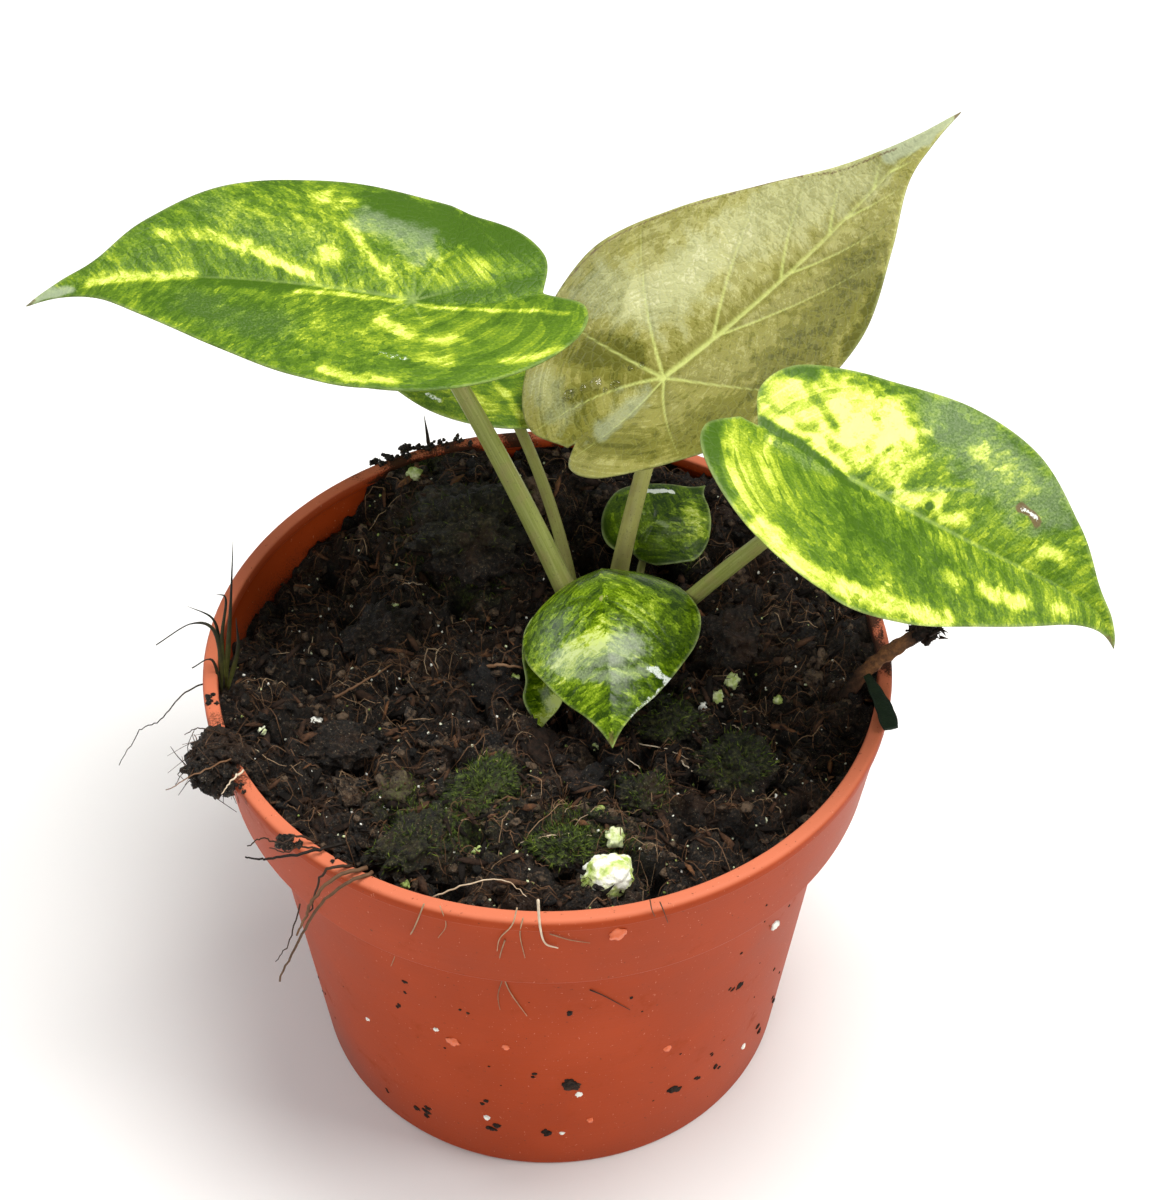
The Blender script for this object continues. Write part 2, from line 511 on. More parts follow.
# Sprouts at the left rim, in an upright plane at a depth y: pixels, width in mm, depth and tint
SPROUTS = (
    (((226, 688), (229, 640), (231, 600), (233, 542)), 1.0, -4.0, 0.95),
    (((222, 690), (221, 655), (212, 628), (190, 624), (156, 645)), 0.9, -4.5, 0.75),
    (((220, 670), (219, 640), (212, 618), (187, 606)), 0.8, -3.6, 0.65),
    (((228, 690), (238, 650), (236, 618)), 1.0, -4.6, 1.0),
    (((226, 680), (222, 640), (226, 600), (216, 594)), 0.8, -4.2, 0.9),
    (((222, 692), (212, 660), (192, 668)), 0.6, -5.0, 0.5),
    (((430, 452), (427, 432), (424, 415)), 0.8, 58.0, 0.3),
)
RIBBON_COLUMNS = 5              # points across a thin strip of leaf
SPROUT_THICKNESS = 0.22
SPROUT_STEPS = 8

# Strands: pixels, the height in mm at each, radius in mm and tint
STRAND_WOBBLE = 0.09
STRANDS = (
    (((206, 682), (182, 695), (160, 720), (140, 731), (118, 765)), (90, 91, 90, 89, 86), 0.16, 0.15),
    (((236, 757), (200, 772), (165, 791)), (93, 96, 95), 0.17, 0.62),
    (((243, 771), (232, 780), (222, 794)), (93.5, 94.5, 93.5), 0.20, 0.95),
    (((235, 744), (205, 752), (182, 770), (176, 786)), (93, 96, 94, 91), 0.14, 0.20),
    (((225, 735), (200, 728), (184, 735)), (94, 97, 95), 0.14, 0.35),
    (((345, 843), (316, 850), (284, 856), (262, 859), (245, 856)), (91, 93.2, 93.5, 93.4, 93.0), 0.32, 0.02),
    (((318, 842), (298, 836), (282, 843), (262, 838), (248, 846)), (92, 94, 94, 93.6, 93), 0.22, 0.30),
    (((322, 850), (300, 846), (288, 852), (270, 848)), (92, 93.6, 94, 93), 0.20, 0.25),
    (((372, 872), (345, 884), (318, 908), (296, 945), (279, 981)), (92, 93.2, 90, 82, 74), 0.36, 0.50),
    (((366, 868), (338, 876), (314, 898), (306, 915), (296, 936)), (92, 93.4, 91, 88, 85), 0.40, 0.55),
    (((352, 866), (330, 868), (318, 884), (310, 912)), (92, 93.4, 91, 87), 0.30, 0.30),
    (((300, 905), (290, 940), (276, 962)), (89, 82, 77), 0.16, 0.30),
    (((520, 843), (548, 836), (575, 834), (602, 838)), (88, 90, 90, 88.5), 0.16, 0.90),
    (((432, 897), (470, 884), (502, 880), (526, 896)), (89.5, 92, 92.5, 91.5), 0.16, 0.92),
    (((676, 748), (684, 764), (700, 773), (727, 765), (744, 746), (738, 728), (722, 724)),
     (85, 87, 88, 88.5, 88, 87, 86), 0.14, 0.95),
    (((614, 744), (624, 756), (640, 768)), (85, 86.5, 86), 0.16, 0.97),
    (((480, 668), (500, 665), (523, 668)), (85, 86.5, 86), 0.42, 0.66),
    (((628, 742), (662, 748), (690, 760)), (86, 87.5, 86.5), 0.12, 0.95),
    (((330, 700), (352, 688), (374, 676), (392, 664)), (86, 88, 88, 86), 0.28, 0.60),
)

# Roots that cling to the pot's outside: pixels, radius in mm and tint
WALL_ROOTS = (
    (((424, 904), (412, 932), (399, 948), (391, 966)), 0.14, 0.78),
    (((538, 900), (540, 926), (545, 943), (558, 948)), 0.24, 0.97),
    (((517, 908), (512, 925), (500, 938), (497, 951)), 0.14, 0.85),
    (((523, 918), (520, 935), (525, 958)), 0.12, 0.80),
    (((505, 940), (500, 956), (498, 976)), 0.12, 0.75),
    (((501, 970), (510, 992), (527, 1016)), 0.13, 0.80),
    (((503, 978), (498, 995), (500, 1010)), 0.10, 0.70),
    (((550, 934), (570, 940), (590, 943)), 0.10, 0.78),
    (((650, 900), (652, 910), (656, 919)), 0.12, 0.50),
    (((660, 902), (664, 912), (668, 923)), 0.12, 0.45),
    (((590, 990), (604, 996), (630, 1010)), 0.12, 0.30),
    (((440, 906), (446, 925), (438, 938)), 0.10, 0.80),
)

# Soil that has stuck to the pot's outside: pixel and size in mm
POT_SPECKS = (
    ((575, 1083), 3.6), ((675, 1087), 3.0), ((423, 1107), 2.2), ((427, 1112), 1.5), ((486, 1102), 1.4),
    ((492, 1128), 2.4), ((547, 1131), 2.2), ((738, 985), 1.9), ((731, 988), 1.2), ((569, 1013), 1.2),
    ((406, 983), 1.0), ((398, 1006), 1.2), ((404, 992), 0.8), ((759, 1028), 1.6), ((774, 1000), 1.2),
    ((716, 1066), 1.3), ((698, 1078), 1.2), ((712, 1054), 0.9), ((534, 1075), 1.0), ((632, 998), 0.8),
    ((388, 1090), 1.0), ((329, 1036), 0.8),
)
POT_SPECK_COUNT = 90
POT_SPECK_RANGE = (0.25, 0.8)
# Wet drops on the pot: pixel and size in mm. The second list shows white.
POT_DROPS = (((618, 934), 2.8), ((453, 1041), 2.4), ((506, 1047), 1.4), ((668, 1048), 1.6),
             ((590, 1120), 1.2))
WHITE_DROPS = (((579, 1094), 1.3), ((487, 1117), 1.2), ((436, 1029), 1.0), ((774, 925), 2.0),
               ((799, 879), 1.4), ((368, 1019), 0.9), ((743, 1046), 1.2), ((562, 1133), 0.9))
# Water drops on the bronze leaf: pixel and size in mm
LEAF_DROPS = (((569, 395), 1.7), ((584, 389), 1.5), ((597, 384), 2.0), ((617, 384), 1.5), ((643, 364), 0.9),
              ((631, 369), 0.8), ((606, 389), 0.9))

# Fibres and crumbs on the clump at the rim
CLUMP_FIBRES = 90
CLUMP_CRUMBS = 170

# Crumbs that lie on the rim: pixel and extent in mm
RIM_CRUMBS = (((284, 840), 2.2), ((292, 844), 1.8), ((335, 856), 1.2), ((240, 790), 1.4), ((380, 464), 1.8),
              ((392, 457), 2.0), ((404, 453), 2.0), ((416, 450), 1.8), ((430, 447), 1.8), ((444, 444), 1.6),
              ((460, 441), 1.4), ((215, 700), 1.6), ((212, 730), 2.0))


def camera_turn():
    """The camera's rotation: level and looking along +Y, then tilted down, panned and rolled."""
    return (Matrix.Rotation(radians(CAMERA_PAN), 3, "Z")
            @ Matrix.Rotation(radians(90 - CAMERA_TILT), 3, "X")
            @ Matrix.Rotation(radians(CAMERA_ROLL), 3, "Z"))


class Photo:
    """Maps places in mm to the photograph's pixels, and pixels back to rays."""

    def __init__(self):
        turn = np.array(camera_turn())
        self.right, self.up, self.ahead = turn[:, 0], turn[:, 1], -turn[:, 2]
        self.place = np.array(CAMERA_PLACE)

    def pixels(self, places):
        away = places - self.place
        depth = away @ self.ahead
        x = PICTURE[0] / 2 + FOCAL_PIXELS * (away @ self.right) / depth
        y = PICTURE[1] / 2 - FOCAL_PIXELS * (away @ self.up) / depth
        return np.stack([x, y], -1)

    def ray(self, pixel):
        x, y = pixel
        return (self.ahead + self.right * (x - PICTURE[0] / 2) / FOCAL_PIXELS
                - self.up * (y - PICTURE[1] / 2) / FOCAL_PIXELS)

    def at_height(self, pixel, height):
        ray = self.ray(pixel)
        return self.place + ray * (height - self.place[2]) / ray[2]

    def on_plane(self, pixel, depth):
        """The place that shows at a pixel in the upright plane at y = depth."""
        ray = self.ray(pixel)
        return self.place + ray * (depth - self.place[1]) / ray[1]

    def on_soil(self, pixel, lift=0.0):
        """The place on the soil that shows at a pixel."""
        height = SOIL_LEVEL
        for _ in range(8):
            place = self.at_height(pixel, height)
            height = 0.5 * (height + soil_top(place[0], place[1]) + lift)
        return self.at_height(pixel, height)

    def on_wall(self, pixel, lift=0.0):
        """The place on the pot's outside that shows at a pixel."""
        ray = self.ray(pixel)
        height = 0.6 * POT_HEIGHT
        for _ in range(12):
            radius = outer_radius(height) + lift
            a = ray[0] ** 2 + ray[1] ** 2
            b = 2 * (ray[0] * self.place[0] + ray[1] * self.place[1])
            c = self.place[0] ** 2 + self.place[1] ** 2 - radius ** 2
            root = max(b * b - 4 * a * c, 0.0)
            place = self.place + ray * (-b - math.sqrt(root)) / (2 * a)
            height = min(max(0.5 * (height + place[2]), 1.0), POT_HEIGHT)
        return place


def link(name, data):
    """A new object in the scene that shows the data."""
    item = bpy.data.objects.new(name, data)
    bpy.context.scene.collection.objects.link(item)
    return item


def set_camera():
    data = bpy.data.cameras.new("camera")
    data.sensor_width = SENSOR
    data.lens = FOCAL_PIXELS * SENSOR / max(PICTURE)
    data.clip_start = 0.01
    data.clip_end = 20.0
    camera = link("camera", data)
    camera.matrix_world = Matrix.Translation(Vector(CAMERA_PLACE) * MM) @ camera_turn().to_4x4()
    bpy.context.scene.camera = camera


def set_light():
    scene = bpy.context.scene
    scene.view_settings.view_transform = "Standard"
    world = bpy.data.worlds.new("world")
    world.use_nodes = True
    background = world.node_tree.nodes["Background"]
    background.inputs["Color"].default_value = (*WORLD_COLOUR, 1.0)
    background.inputs["Strength"].default_value = WORLD_STRENGTH
    scene.world = world
    for name, (place, side, power, colour) in LAMPS.items():
        data = bpy.data.lights.new(name, "AREA")
        data.size = side
        data.energy = power
        data.color = colour
        lamp = link(name, data)
        lamp.location = place
        lamp.rotation_euler = (Vector(LAMP_AIM) - Vector(place)).to_track_quat("-Z", "Y").to_euler()


class Paint:
    """Builds one material's nodes around its Principled shader."""

    def __init__(self, name):
        self.material = bpy.data.materials.new(name)
        self.material.use_nodes = True
        self.tree = self.material.node_tree
        self.shader = self.tree.nodes["Principled BSDF"]

    def put(self, socket, value):
        if isinstance(value, bpy.types.NodeSocket):
            self.tree.links.new(value, socket)
        elif isinstance(value, tuple) and len(value) == 3 and len(socket.default_value) == 4:
            socket.default_value = (*value, 1.0)
        else:
            socket.default_value = value

    def set(self, **values):
        """Sets the shader's sockets, named with _ for a space."""
        for name, value in values.items():
            self.put(self.shader.inputs[name.replace("_", " ")], value)

    def node(self, kind, **settings):
        made = self.tree.nodes.new(kind)
        for name, value in settings.items():
            setattr(made, name, value)
        return made

    def attribute(self, name):
        return self.node("ShaderNodeAttribute", attribute_name=name).outputs["Fac"]

    def vector(self, name):
        return self.node("ShaderNodeAttribute", attribute_name=name).outputs["Vector"]

    def place(self):
        """Where a point is, in mm."""
        return self.scaled(self.node("ShaderNodeTexCoord").outputs["Object"], (1 / MM, 1 / MM, 1 / MM))

    def scaled(self, vector, scale):
        node = self.node("ShaderNodeVectorMath", operation="MULTIPLY")
        self.put(node.inputs[0], vector)
        node.inputs[1].default_value = scale
        return node.outputs[0]

    def noise(self, vector, scale, detail=3.0, roughness=0.55, distortion=0.0):
        node = self.node("ShaderNodeTexNoise")
        self.put(node.inputs["Vector"], vector)
        node.inputs["Scale"].default_value = scale
        node.inputs["Detail"].default_value = detail
        node.inputs["Roughness"].default_value = roughness
        node.inputs["Distortion"].default_value = distortion
        return node.outputs["Fac"]

    def cells(self, vector, scale, feature="DISTANCE_TO_EDGE", output="Distance"):
        node = self.node("ShaderNodeTexVoronoi", feature=feature)
        self.put(node.inputs["Vector"], vector)
        node.inputs["Scale"].default_value = scale
        return node.outputs[output]

    def math(self, operation, a, b=0.0, c=0.0):
        node = self.node("ShaderNodeMath", operation=operation)
        for socket, value in zip(node.inputs, (a, b, c)):
            self.put(socket, value)
        return node.outputs[0]

    def spread(self, value, low, high, out_low=0.0, out_high=1.0):
        """The value's range from low to high, stretched smoothly to the range from out_low to out_high."""
        node = self.node("ShaderNodeMapRange", interpolation_type="SMOOTHSTEP")
        self.put(node.inputs["Value"], value)
        for name, number in (("From Min", low), ("From Max", high), ("To Min", out_low),
                             ("To Max", out_high)):
            node.inputs[name].default_value = number
        return node.outputs["Result"]

    def mix(self, share, a, b, kind="MIX"):
        node = self.node("ShaderNodeMix", data_type="RGBA", blend_type=kind)
        self.put(node.inputs[0], share)
        self.put(node.inputs[6], a)
        self.put(node.inputs[7], b)
        return node.outputs[2]

    def shift(self, texture, weight, value):
        """The value, moved up and down by the texture."""
        return self.math("MULTIPLY_ADD", self.math("SUBTRACT", texture, 0.5), weight, value)

    def patches(self, colour, other, texture, low, high, most=1.0):
        """The colour, with up to so much of the other one as the texture goes from low to high."""
        return self.mix(self.spread(texture, low, high, 0.0, most), colour, other)

    def ramp(self, value, stops):
        node = self.node("ShaderNodeValToRGB")
        elements = node.color_ramp.elements
        elements.remove(elements[1])
        for number, (position, colour) in enumerate(stops):
            element = elements[0] if number == 0 else elements.new(position)
            element.position = position
            element.color = (*colour, 1.0)
        self.put(node.inputs["Fac"], value)
        return node.outputs["Color"]

    def bump(self, height, depth, strength=1.0):
        """Bumps from a height of 0 to 1, with depth in mm."""
        node = self.node("ShaderNodeBump")
        node.inputs["Strength"].default_value = strength
        node.inputs["Distance"].default_value = depth * MM
        self.put(node.inputs["Height"], height)
        self.put(self.shader.inputs["Normal"], node.outputs["Normal"])


def plateaus(palette, change=0.27):
    """Ramp stops that hold each colour of a palette and change to the next over a short part of its range."""
    stops = [palette[0]]
    for (start, colour), (end, following) in zip(palette, palette[1:]):
        stops += [(end - change * (end - start), colour), (end, following)]
    return stops


def leaf_paint(name, palette, vein_colour, under_colour, roughness, shine, flecks, wrinkles, net, relief):
    """A leaf's finish: angular flecks along the veins, wrinkles across them, gloss and a dull underside.

    flecks, wrinkles and net are how strongly each shows, and relief is the depth of its fine form in mm.
    """
    paint = Paint(name)
    flat = paint.vector("flat")
    grain = paint.vector("grain")
    tiles = paint.cells(paint.scaled(grain, (1.25, 2.0, 1.0)), 1.0, "F1", "Position")
    grit = paint.noise(flat, 2.4, 3.0, 0.7)
    broad = paint.noise(flat, 0.17, 4.0, 0.6)
    lines = paint.noise(paint.scaled(grain, (1.5, 0.22, 1.0)), 1.0, 3.0, 0.6)
    field = paint.attribute("pale")
    for texture, weight in ((broad, 0.50 * flecks), (paint.noise(tiles, 0.27, 4.0, 0.75), 1.25 * flecks),
                            (grit, 0.55 * flecks), (lines, wrinkles)):
        field = paint.shift(texture, weight, field)
    colour = paint.ramp(field, plateaus(palette))
    edges = paint.cells(flat, 0.62)
    colour = paint.mix(paint.spread(edges, 0.0, 0.09, net, 0.0), colour, vein_colour)
    vein = paint.spread(paint.attribute("vein"), 0.1, 0.9)
    beside = paint.math("MULTIPLY", paint.attribute("beside"), 0.5)
    colour = paint.mix(beside, colour, palette[1][1])
    colour = paint.mix(paint.math("MULTIPLY", vein, 0.85), colour, vein_colour)
    veil = paint.shift(grit, 0.7, paint.attribute("sheen"))
    colour = paint.patches(colour, SHEEN_COLOUR, veil, 0.05, 0.90, 0.62)
    margin = paint.math("MULTIPLY", paint.attribute("edge"), paint.spread(broad, 0.35, 0.60, 0.3, 1.0))
    colour = paint.mix(margin, colour, MARGIN_COLOUR)
    dry = paint.shift(grit, 0.8, paint.attribute("brown"))
    colour = paint.patches(colour, BROWN_COLOUR, dry, 0.25, 0.60, 0.85)
    sharp = paint.math("MULTIPLY", paint.noise(flat, 2.0, 4.0, 0.75), paint.attribute("glint"))
    colour = paint.patches(colour, GLINT_COLOUR, sharp, 0.38, 0.50, 0.85)
    under = paint.mix(0.60, colour, under_colour)
    under = paint.mix(paint.math("MULTIPLY", vein, 0.35), under, vein_colour)
    colour = paint.mix(paint.attribute("under"), colour, under)
    gloss = paint.math("MULTIPLY_ADD", paint.attribute("under"), 0.18, roughness)
    gloss = paint.shift(broad, 0.25, gloss)
    paint.set(Base_Color=colour, Roughness=gloss, Specular_IOR_Level=shine)
    height = paint.math("MULTIPLY_ADD", paint.spread(edges, 0.0, 0.20), 0.4,
                        paint.math("MULTIPLY", grit, 0.5))
    height = paint.math("MULTIPLY_ADD", lines, 0.3 + 1.6 * wrinkles, height)
    paint.bump(height, relief, 0.8)
    return paint.material


def petiole_paint():
    paint = Paint("petiole")
    grain = paint.vector("grain")
    lines = paint.noise(paint.scaled(grain, (0.05, 1.6, 1.0)), 1.6, 3.0, 0.6)
    blotch = paint.noise(grain, 0.22, 3.0, 0.6)
    colour = paint.ramp(lines, ((0.30, (0.205, 0.238, 0.048)), (0.52, (0.262, 0.290, 0.074)),
                                (0.72, (0.330, 0.360, 0.120))))
    colour = paint.mix(paint.attribute("paleness"), colour, (0.580, 0.550, 0.170))
    warm = paint.spread(blotch, 0.45, 0.75, 0.0, 0.45)
    colour = paint.mix(warm, colour, (0.300, 0.235, 0.105))
    fleck = paint.spread(paint.noise(grain, 2.2, 2.0, 0.6), 0.62, 0.70, 0.0, 0.6)
    colour = paint.mix(fleck, colour, (0.130, 0.120, 0.045))
    colour = paint.mix(paint.attribute("root"), colour, (0.200, 0.150, 0.080))
    paint.set(Base_Color=colour, Roughness=0.42, Specular_IOR_Level=0.2)
    paint.bump(lines, 0.03, 0.6)
    return paint.material


def pot_paint():
    """Burnt orange plastic: faint clouds, mould lines round it, a pale worn lip, dust and smears of soil."""
    paint = Paint("pot_plastic")
    place = paint.place()
    clouds = paint.noise(place, 0.035, 3.0, 0.6)
    rings = paint.noise(paint.scaled(place, (0.02, 0.02, 1.0)), 1.1, 3.0, 0.6)
    grit = paint.noise(place, 3.2, 2.0, 0.6)
    colour = paint.ramp(clouds, ((0.30, (0.305, 0.036, 0.003)), (0.52, (0.345, 0.042, 0.005)),
                                 (0.72, (0.385, 0.052, 0.010))))
    colour = paint.patches(colour, (0.250, 0.038, 0.010), rings, 0.4, 0.8, 0.16)
    smudge = paint.spread(paint.noise(place, 0.10, 5.0, 0.7), 0.58, 0.76, 0.0, 0.35)
    colour = paint.mix(smudge, colour, (0.200, 0.038, 0.014))
    dust = paint.spread(paint.noise(place, 0.9, 4.0, 0.75), 0.64, 0.80, 0.0, 0.35)
    colour = paint.mix(dust, colour, (0.50, 0.16, 0.08))
    colour = paint.mix(paint.attribute("worn"), colour, (0.800, 0.290, 0.170))
    speck = paint.spread(paint.noise(place, 1.3, 3.0, 0.6), 0.66, 0.74, 0.0, 0.70)
    colour = paint.mix(speck, colour, (0.085, 0.022, 0.009))
    pale = paint.spread(paint.noise(paint.scaled(place, (1.0, 1.0, 0.6)), 2.1, 2.0, 0.5), 0.70, 0.74, 0.0,
                        0.5)
    colour = paint.mix(pale, colour, (0.62, 0.27, 0.17))
    dirty = paint.shift(grit, 1.2, paint.attribute("soiled"))
    colour = paint.patches(colour, (0.022, 0.012, 0.007), dirty, 0.25, 0.75, 0.95)
    rough = paint.math("MULTIPLY_ADD", clouds, 0.22, 0.36)
    rough = paint.math("MULTIPLY_ADD", smudge, 0.6, rough)
    paint.set(Base_Color=colour, Roughness=rough, Specular_IOR_Level=0.07, Sheen_Weight=0.03,
              Sheen_Roughness=0.4)
    paint.bump(paint.math("MULTIPLY_ADD", rings, 0.4, paint.math("MULTIPLY", grit, 0.6)), 0.05, 0.6)
    return paint.material


def soil_paint(name, lightness):
    """Potting soil: near black and dark brown, with rusty and mossy places, pale flecks and wet glints."""
    paint = Paint(name)
    place = paint.place()
    patch = paint.noise(place, 0.11, 4.0, 0.65)
    crumb = paint.noise(place, 1.3, 4.0, 0.7)
    dark, mid, light = (tuple(lightness * part for part in colour) for colour in
                        ((0.0014, 0.0008, 0.0004), (0.0085, 0.0050, 0.0024), (0.125, 0.082, 0.050)))
    shade = paint.math("ADD", crumb, paint.attribute("light"))
    colour = paint.ramp(shade, ((0.33, dark), (0.54, mid), (0.76, light)))
    colour = paint.patches(colour, (0.045, 0.020, 0.009), patch, 0.52, 0.68, 0.6)
    rust = paint.spread(paint.noise(place, 1.9, 3.0, 0.7), 0.60, 0.68, 0.0, 0.7)
    colour = paint.mix(rust, colour, (0.085, 0.036, 0.016))
    fleck = paint.spread(paint.noise(place, 3.2, 2.0, 0.5), 0.67, 0.72)
    colour = paint.mix(fleck, colour, (0.24, 0.20, 0.14))
    colour = paint.mix(paint.math("MULTIPLY", paint.attribute("deep"), 0.85), colour,
                       (0.0015, 0.0009, 0.0005))
    green = paint.ramp(crumb, ((0.30, (0.010, 0.017, 0.003)), (0.56, (0.045, 0.068, 0.010)),
                               (0.76, (0.150, 0.185, 0.030))))
    colour = paint.mix(paint.math("MULTIPLY", paint.attribute("moss"), paint.spread(crumb, 0.36, 0.60)),
                       colour, green)
    rough = paint.spread(paint.noise(place, 0.8, 3.0, 0.6), 0.35, 0.65, 0.30, 0.90)
    paint.set(Base_Color=colour, Roughness=rough, Specular_IOR_Level=0.36)
    paint.bump(paint.math("MULTIPLY_ADD", paint.noise(place, 4.5, 3.0, 0.7), 0.5, crumb), 0.9, 1.0)
    return paint.material


def tinted_paint(name, scale, roughness, depth, spread, stops):
    """A rough finish whose colour runs through the stops, by its own noise and by each bit's tint."""
    paint = Paint(name)
    place = paint.place()
    texture = paint.noise(place, scale, 4.0, 0.65)
    value = paint.shift(texture, spread, paint.attribute("tint"))
    paint.set(Base_Color=paint.ramp(value, stops), Roughness=roughness, Specular_IOR_Level=0.2)
    paint.bump(paint.noise(place, 3.0 * scale, 3.0, 0.65), depth, 0.8)
    return paint.material


def water_paint():
    """Clear water, with a faint cloudiness that breaks its gloss."""
    paint = Paint("water")
    rough = paint.spread(paint.noise(paint.place(), 1.5, 2.0), 0.3, 0.7, 0.01, 0.06)
    paint.set(Base_Color=(0.95, 0.97, 0.95), Roughness=rough, IOR=1.33, Transmission_Weight=1.0)
    return paint.material


def make_paints():
    """All materials by their names here."""
    paints = {key: leaf_paint(f"leaf_{key}", *row) for key, row in LEAF_PAINTS.items()}
    paints.update(petiole=petiole_paint(), pot=pot_paint(), soil=soil_paint("soil", 1.0),
                  crumbs=soil_paint("soil_crumbs", CRUMB_LIGHTNESS))
    paints.update({key: tinted_paint(*row) for key, row in BIT_PAINTS.items()})
    paints["water"] = water_paint()
    return paints


# Meshes. Places are in mm until mesh_object makes them metres.


def add_field(mesh, name, values):
    """Gives the mesh a field of one value, or one row of three, for each vertex."""
    values = np.asarray(values, float)
    kind, key = ("FLOAT", "value") if values.ndim == 1 else ("FLOAT_VECTOR", "vector")
    mesh.attributes.new(name, kind, "POINT").data.foreach_set(key, values.ravel())


def mesh_object(name, places, faces, material, **attributes):
    """A smooth shaded mesh. An attribute is one value, or one row of three, for each vertex."""
    mesh = bpy.data.meshes.new(name)
    mesh.from_pydata((np.asarray(places) * MM).tolist(), [], faces)
    mesh.materials.append(material)
    mesh.shade_smooth()
    for key, values in attributes.items():
        add_field(mesh, key, values)
    item = link(name, mesh)
    return item


def outward(item):
    """Turn the mesh's faces outward."""
    edit = bmesh.new()
    edit.from_mesh(item.data)
    bmesh.ops.recalc_face_normals(edit, faces=edit.faces)
    edit.to_mesh(item.data)
    edit.free()


def hand_in(item, slot, *nodes):
    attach(item, "root")
    if nodes:
        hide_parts(*nodes)
    return item


class Batch:
    """Collects many small pieces for one mesh, each with a tint of its own."""

    def __init__(self):
        self.places = []
        self.faces = []
        self.tints = []
        self.count = 0

    def add(self, places, faces, tint=0.5):
        self.places.append(np.asarray(places))
        self.faces += [tuple(self.count + corner for corner in face) for face in faces]
        self.tints.append(np.broadcast_to(tint, len(places)))
        self.count += len(places)

    def object(self, name, material):
        places = np.vstack(self.places)
        return mesh_object(name, places, self.faces, material, tint=np.concatenate(self.tints))


def through_points(points, steps):
    """A smooth open curve through the points (Catmull-Rom), with so many steps in each span."""
    points = np.array(points, float)
    padded = np.vstack([2 * points[0] - points[1], points, 2 * points[-1] - points[-2]])
    out = []
    for span in range(1, len(padded) - 2):
        before, start, end, after = padded[span - 1:span + 3]
        for step in range(steps):
            t = step / steps
            out.append(0.5 * (2 * start + (end - before) * t
                              + (2 * before - 5 * start + 4 * end - after) * t ** 2
                              + (after - before + 3 * (start - end)) * t ** 3))
    out.append(points[-1])
    return np.array(out)


def path_distance(points, path):
    """Each point's distance to an open path, and how far along the path its nearest place is (0 to 1)."""
    path = np.asarray(path, float)
    nearest = np.full(len(points), 1e9)
    share = np.zeros(len(points))
    lengths = np.hypot(*np.diff(path, axis=0).T)
    total = max(lengths.sum(), 1e-9)
    gone = 0.0
    for start, end, length in zip(path, path[1:], lengths):
        along = end - start
        t = np.clip((points - start) @ along / max(along @ along, 1e-12), 0, 1)
        away = np.hypot(*(points - start - t[:, None] * along).T)
        closer = away < nearest
        nearest = np.where(closer, away, nearest)
        share = np.where(closer, (gone + t * length) / total, share)
        gone += length
    return nearest, share


def margin_distance(points, outline):
    """Each point's distance to the closed outline, and whether it is inside."""
    nearest = np.full(len(points), 1e9)
    inside = np.zeros(len(points), bool)
    x, y = points.T
    for start, end in zip(outline, np.roll(outline, -1, 0)):
        along = end - start
        t = np.clip((points - start) @ along / max(along @ along, 1e-12), 0, 1)
        nearest = np.minimum(nearest, np.hypot(*(points - start - t[:, None] * along).T))
        crosses = (start[1] > y) != (end[1] > y)
        slope = along[0] / along[1] if along[1] else 0.0
        inside ^= crosses & (x < start[0] + (y - start[1]) * slope)
    return nearest, inside


def room_to(outline, spot):
    """One place's distance to the closed outline's nearest point, or 0 if it is outside."""
    ends = np.roll(outline, -1, 0)
    crosses = (outline[:, 1] > spot[1]) != (ends[:, 1] > spot[1])
    start, end = outline[crosses], ends[crosses]
    meets = start[:, 0] + (spot[1] - start[:, 1]) * (end[:, 0] - start[:, 0]) / (end[:, 1] - start[:, 1])
    inside = np.count_nonzero(meets > spot[0]) % 2
    return np.hypot(*(outline - spot).T).min() * inside


def filled(outline, spacing):
    """Points and triangles that fill a flat outline. The outline's own points come first."""
    low, high = outline.min(0), outline.max(0)
    rows = []
    for number, y in enumerate(np.arange(low[1], high[1], spacing * sin(pi / 3))):
        x = np.arange(low[0] + 0.5 * spacing * (number % 2), high[0], spacing)
        rows.append(np.stack([x, np.full_like(x, y)], 1))
    grid = np.vstack(rows)
    away, inside = margin_distance(grid, outline)
    points = np.vstack([outline, grid[inside & (away > 0.6 * spacing)]])
    count = len(outline)
    edges = [(i, (i + 1) % count) for i in range(count)]
    made = delaunay_2d_cdt([Vector(point) for point in points], edges, [], 1, 1e-7)
    return np.array([tuple(vertex) for vertex in made[0]]), made[2]


def half_margin(leaf, side, steps):
    """Margin points of one half, tip to sinus. Side 0 is left and 1 is right."""
    points = []
    for along, out in HALF_OUTLINE:
        width = out * leaf["width"][side]
        if along < 0:
            along *= leaf["lobe"][side]
        share = min(max((along - TAPER_START) / TAPER_SPAN, 0.0), 1.0)
        width *= 1 + (leaf["taper"][side] - 1) * share
        if 0 < out:
            share = min(max((along - SHOULDER_START) / (SHOULDER_END - SHOULDER_START), 0.0), 1.0)
            width += leaf["shoulder"][side] * sin(2 * pi * share - pi)
        points.append((along, width))
    return through_points(points, steps) * leaf["length"]


def margin(leaf, steps):
    """The closed margin in the flat blade: tip, left half, sinus, right half back to the tip."""
    left = half_margin(leaf, 0, steps)
    right = half_margin(leaf, 1, steps) * (1, -1)
    return np.vstack([left, right[-2:0:-1]])


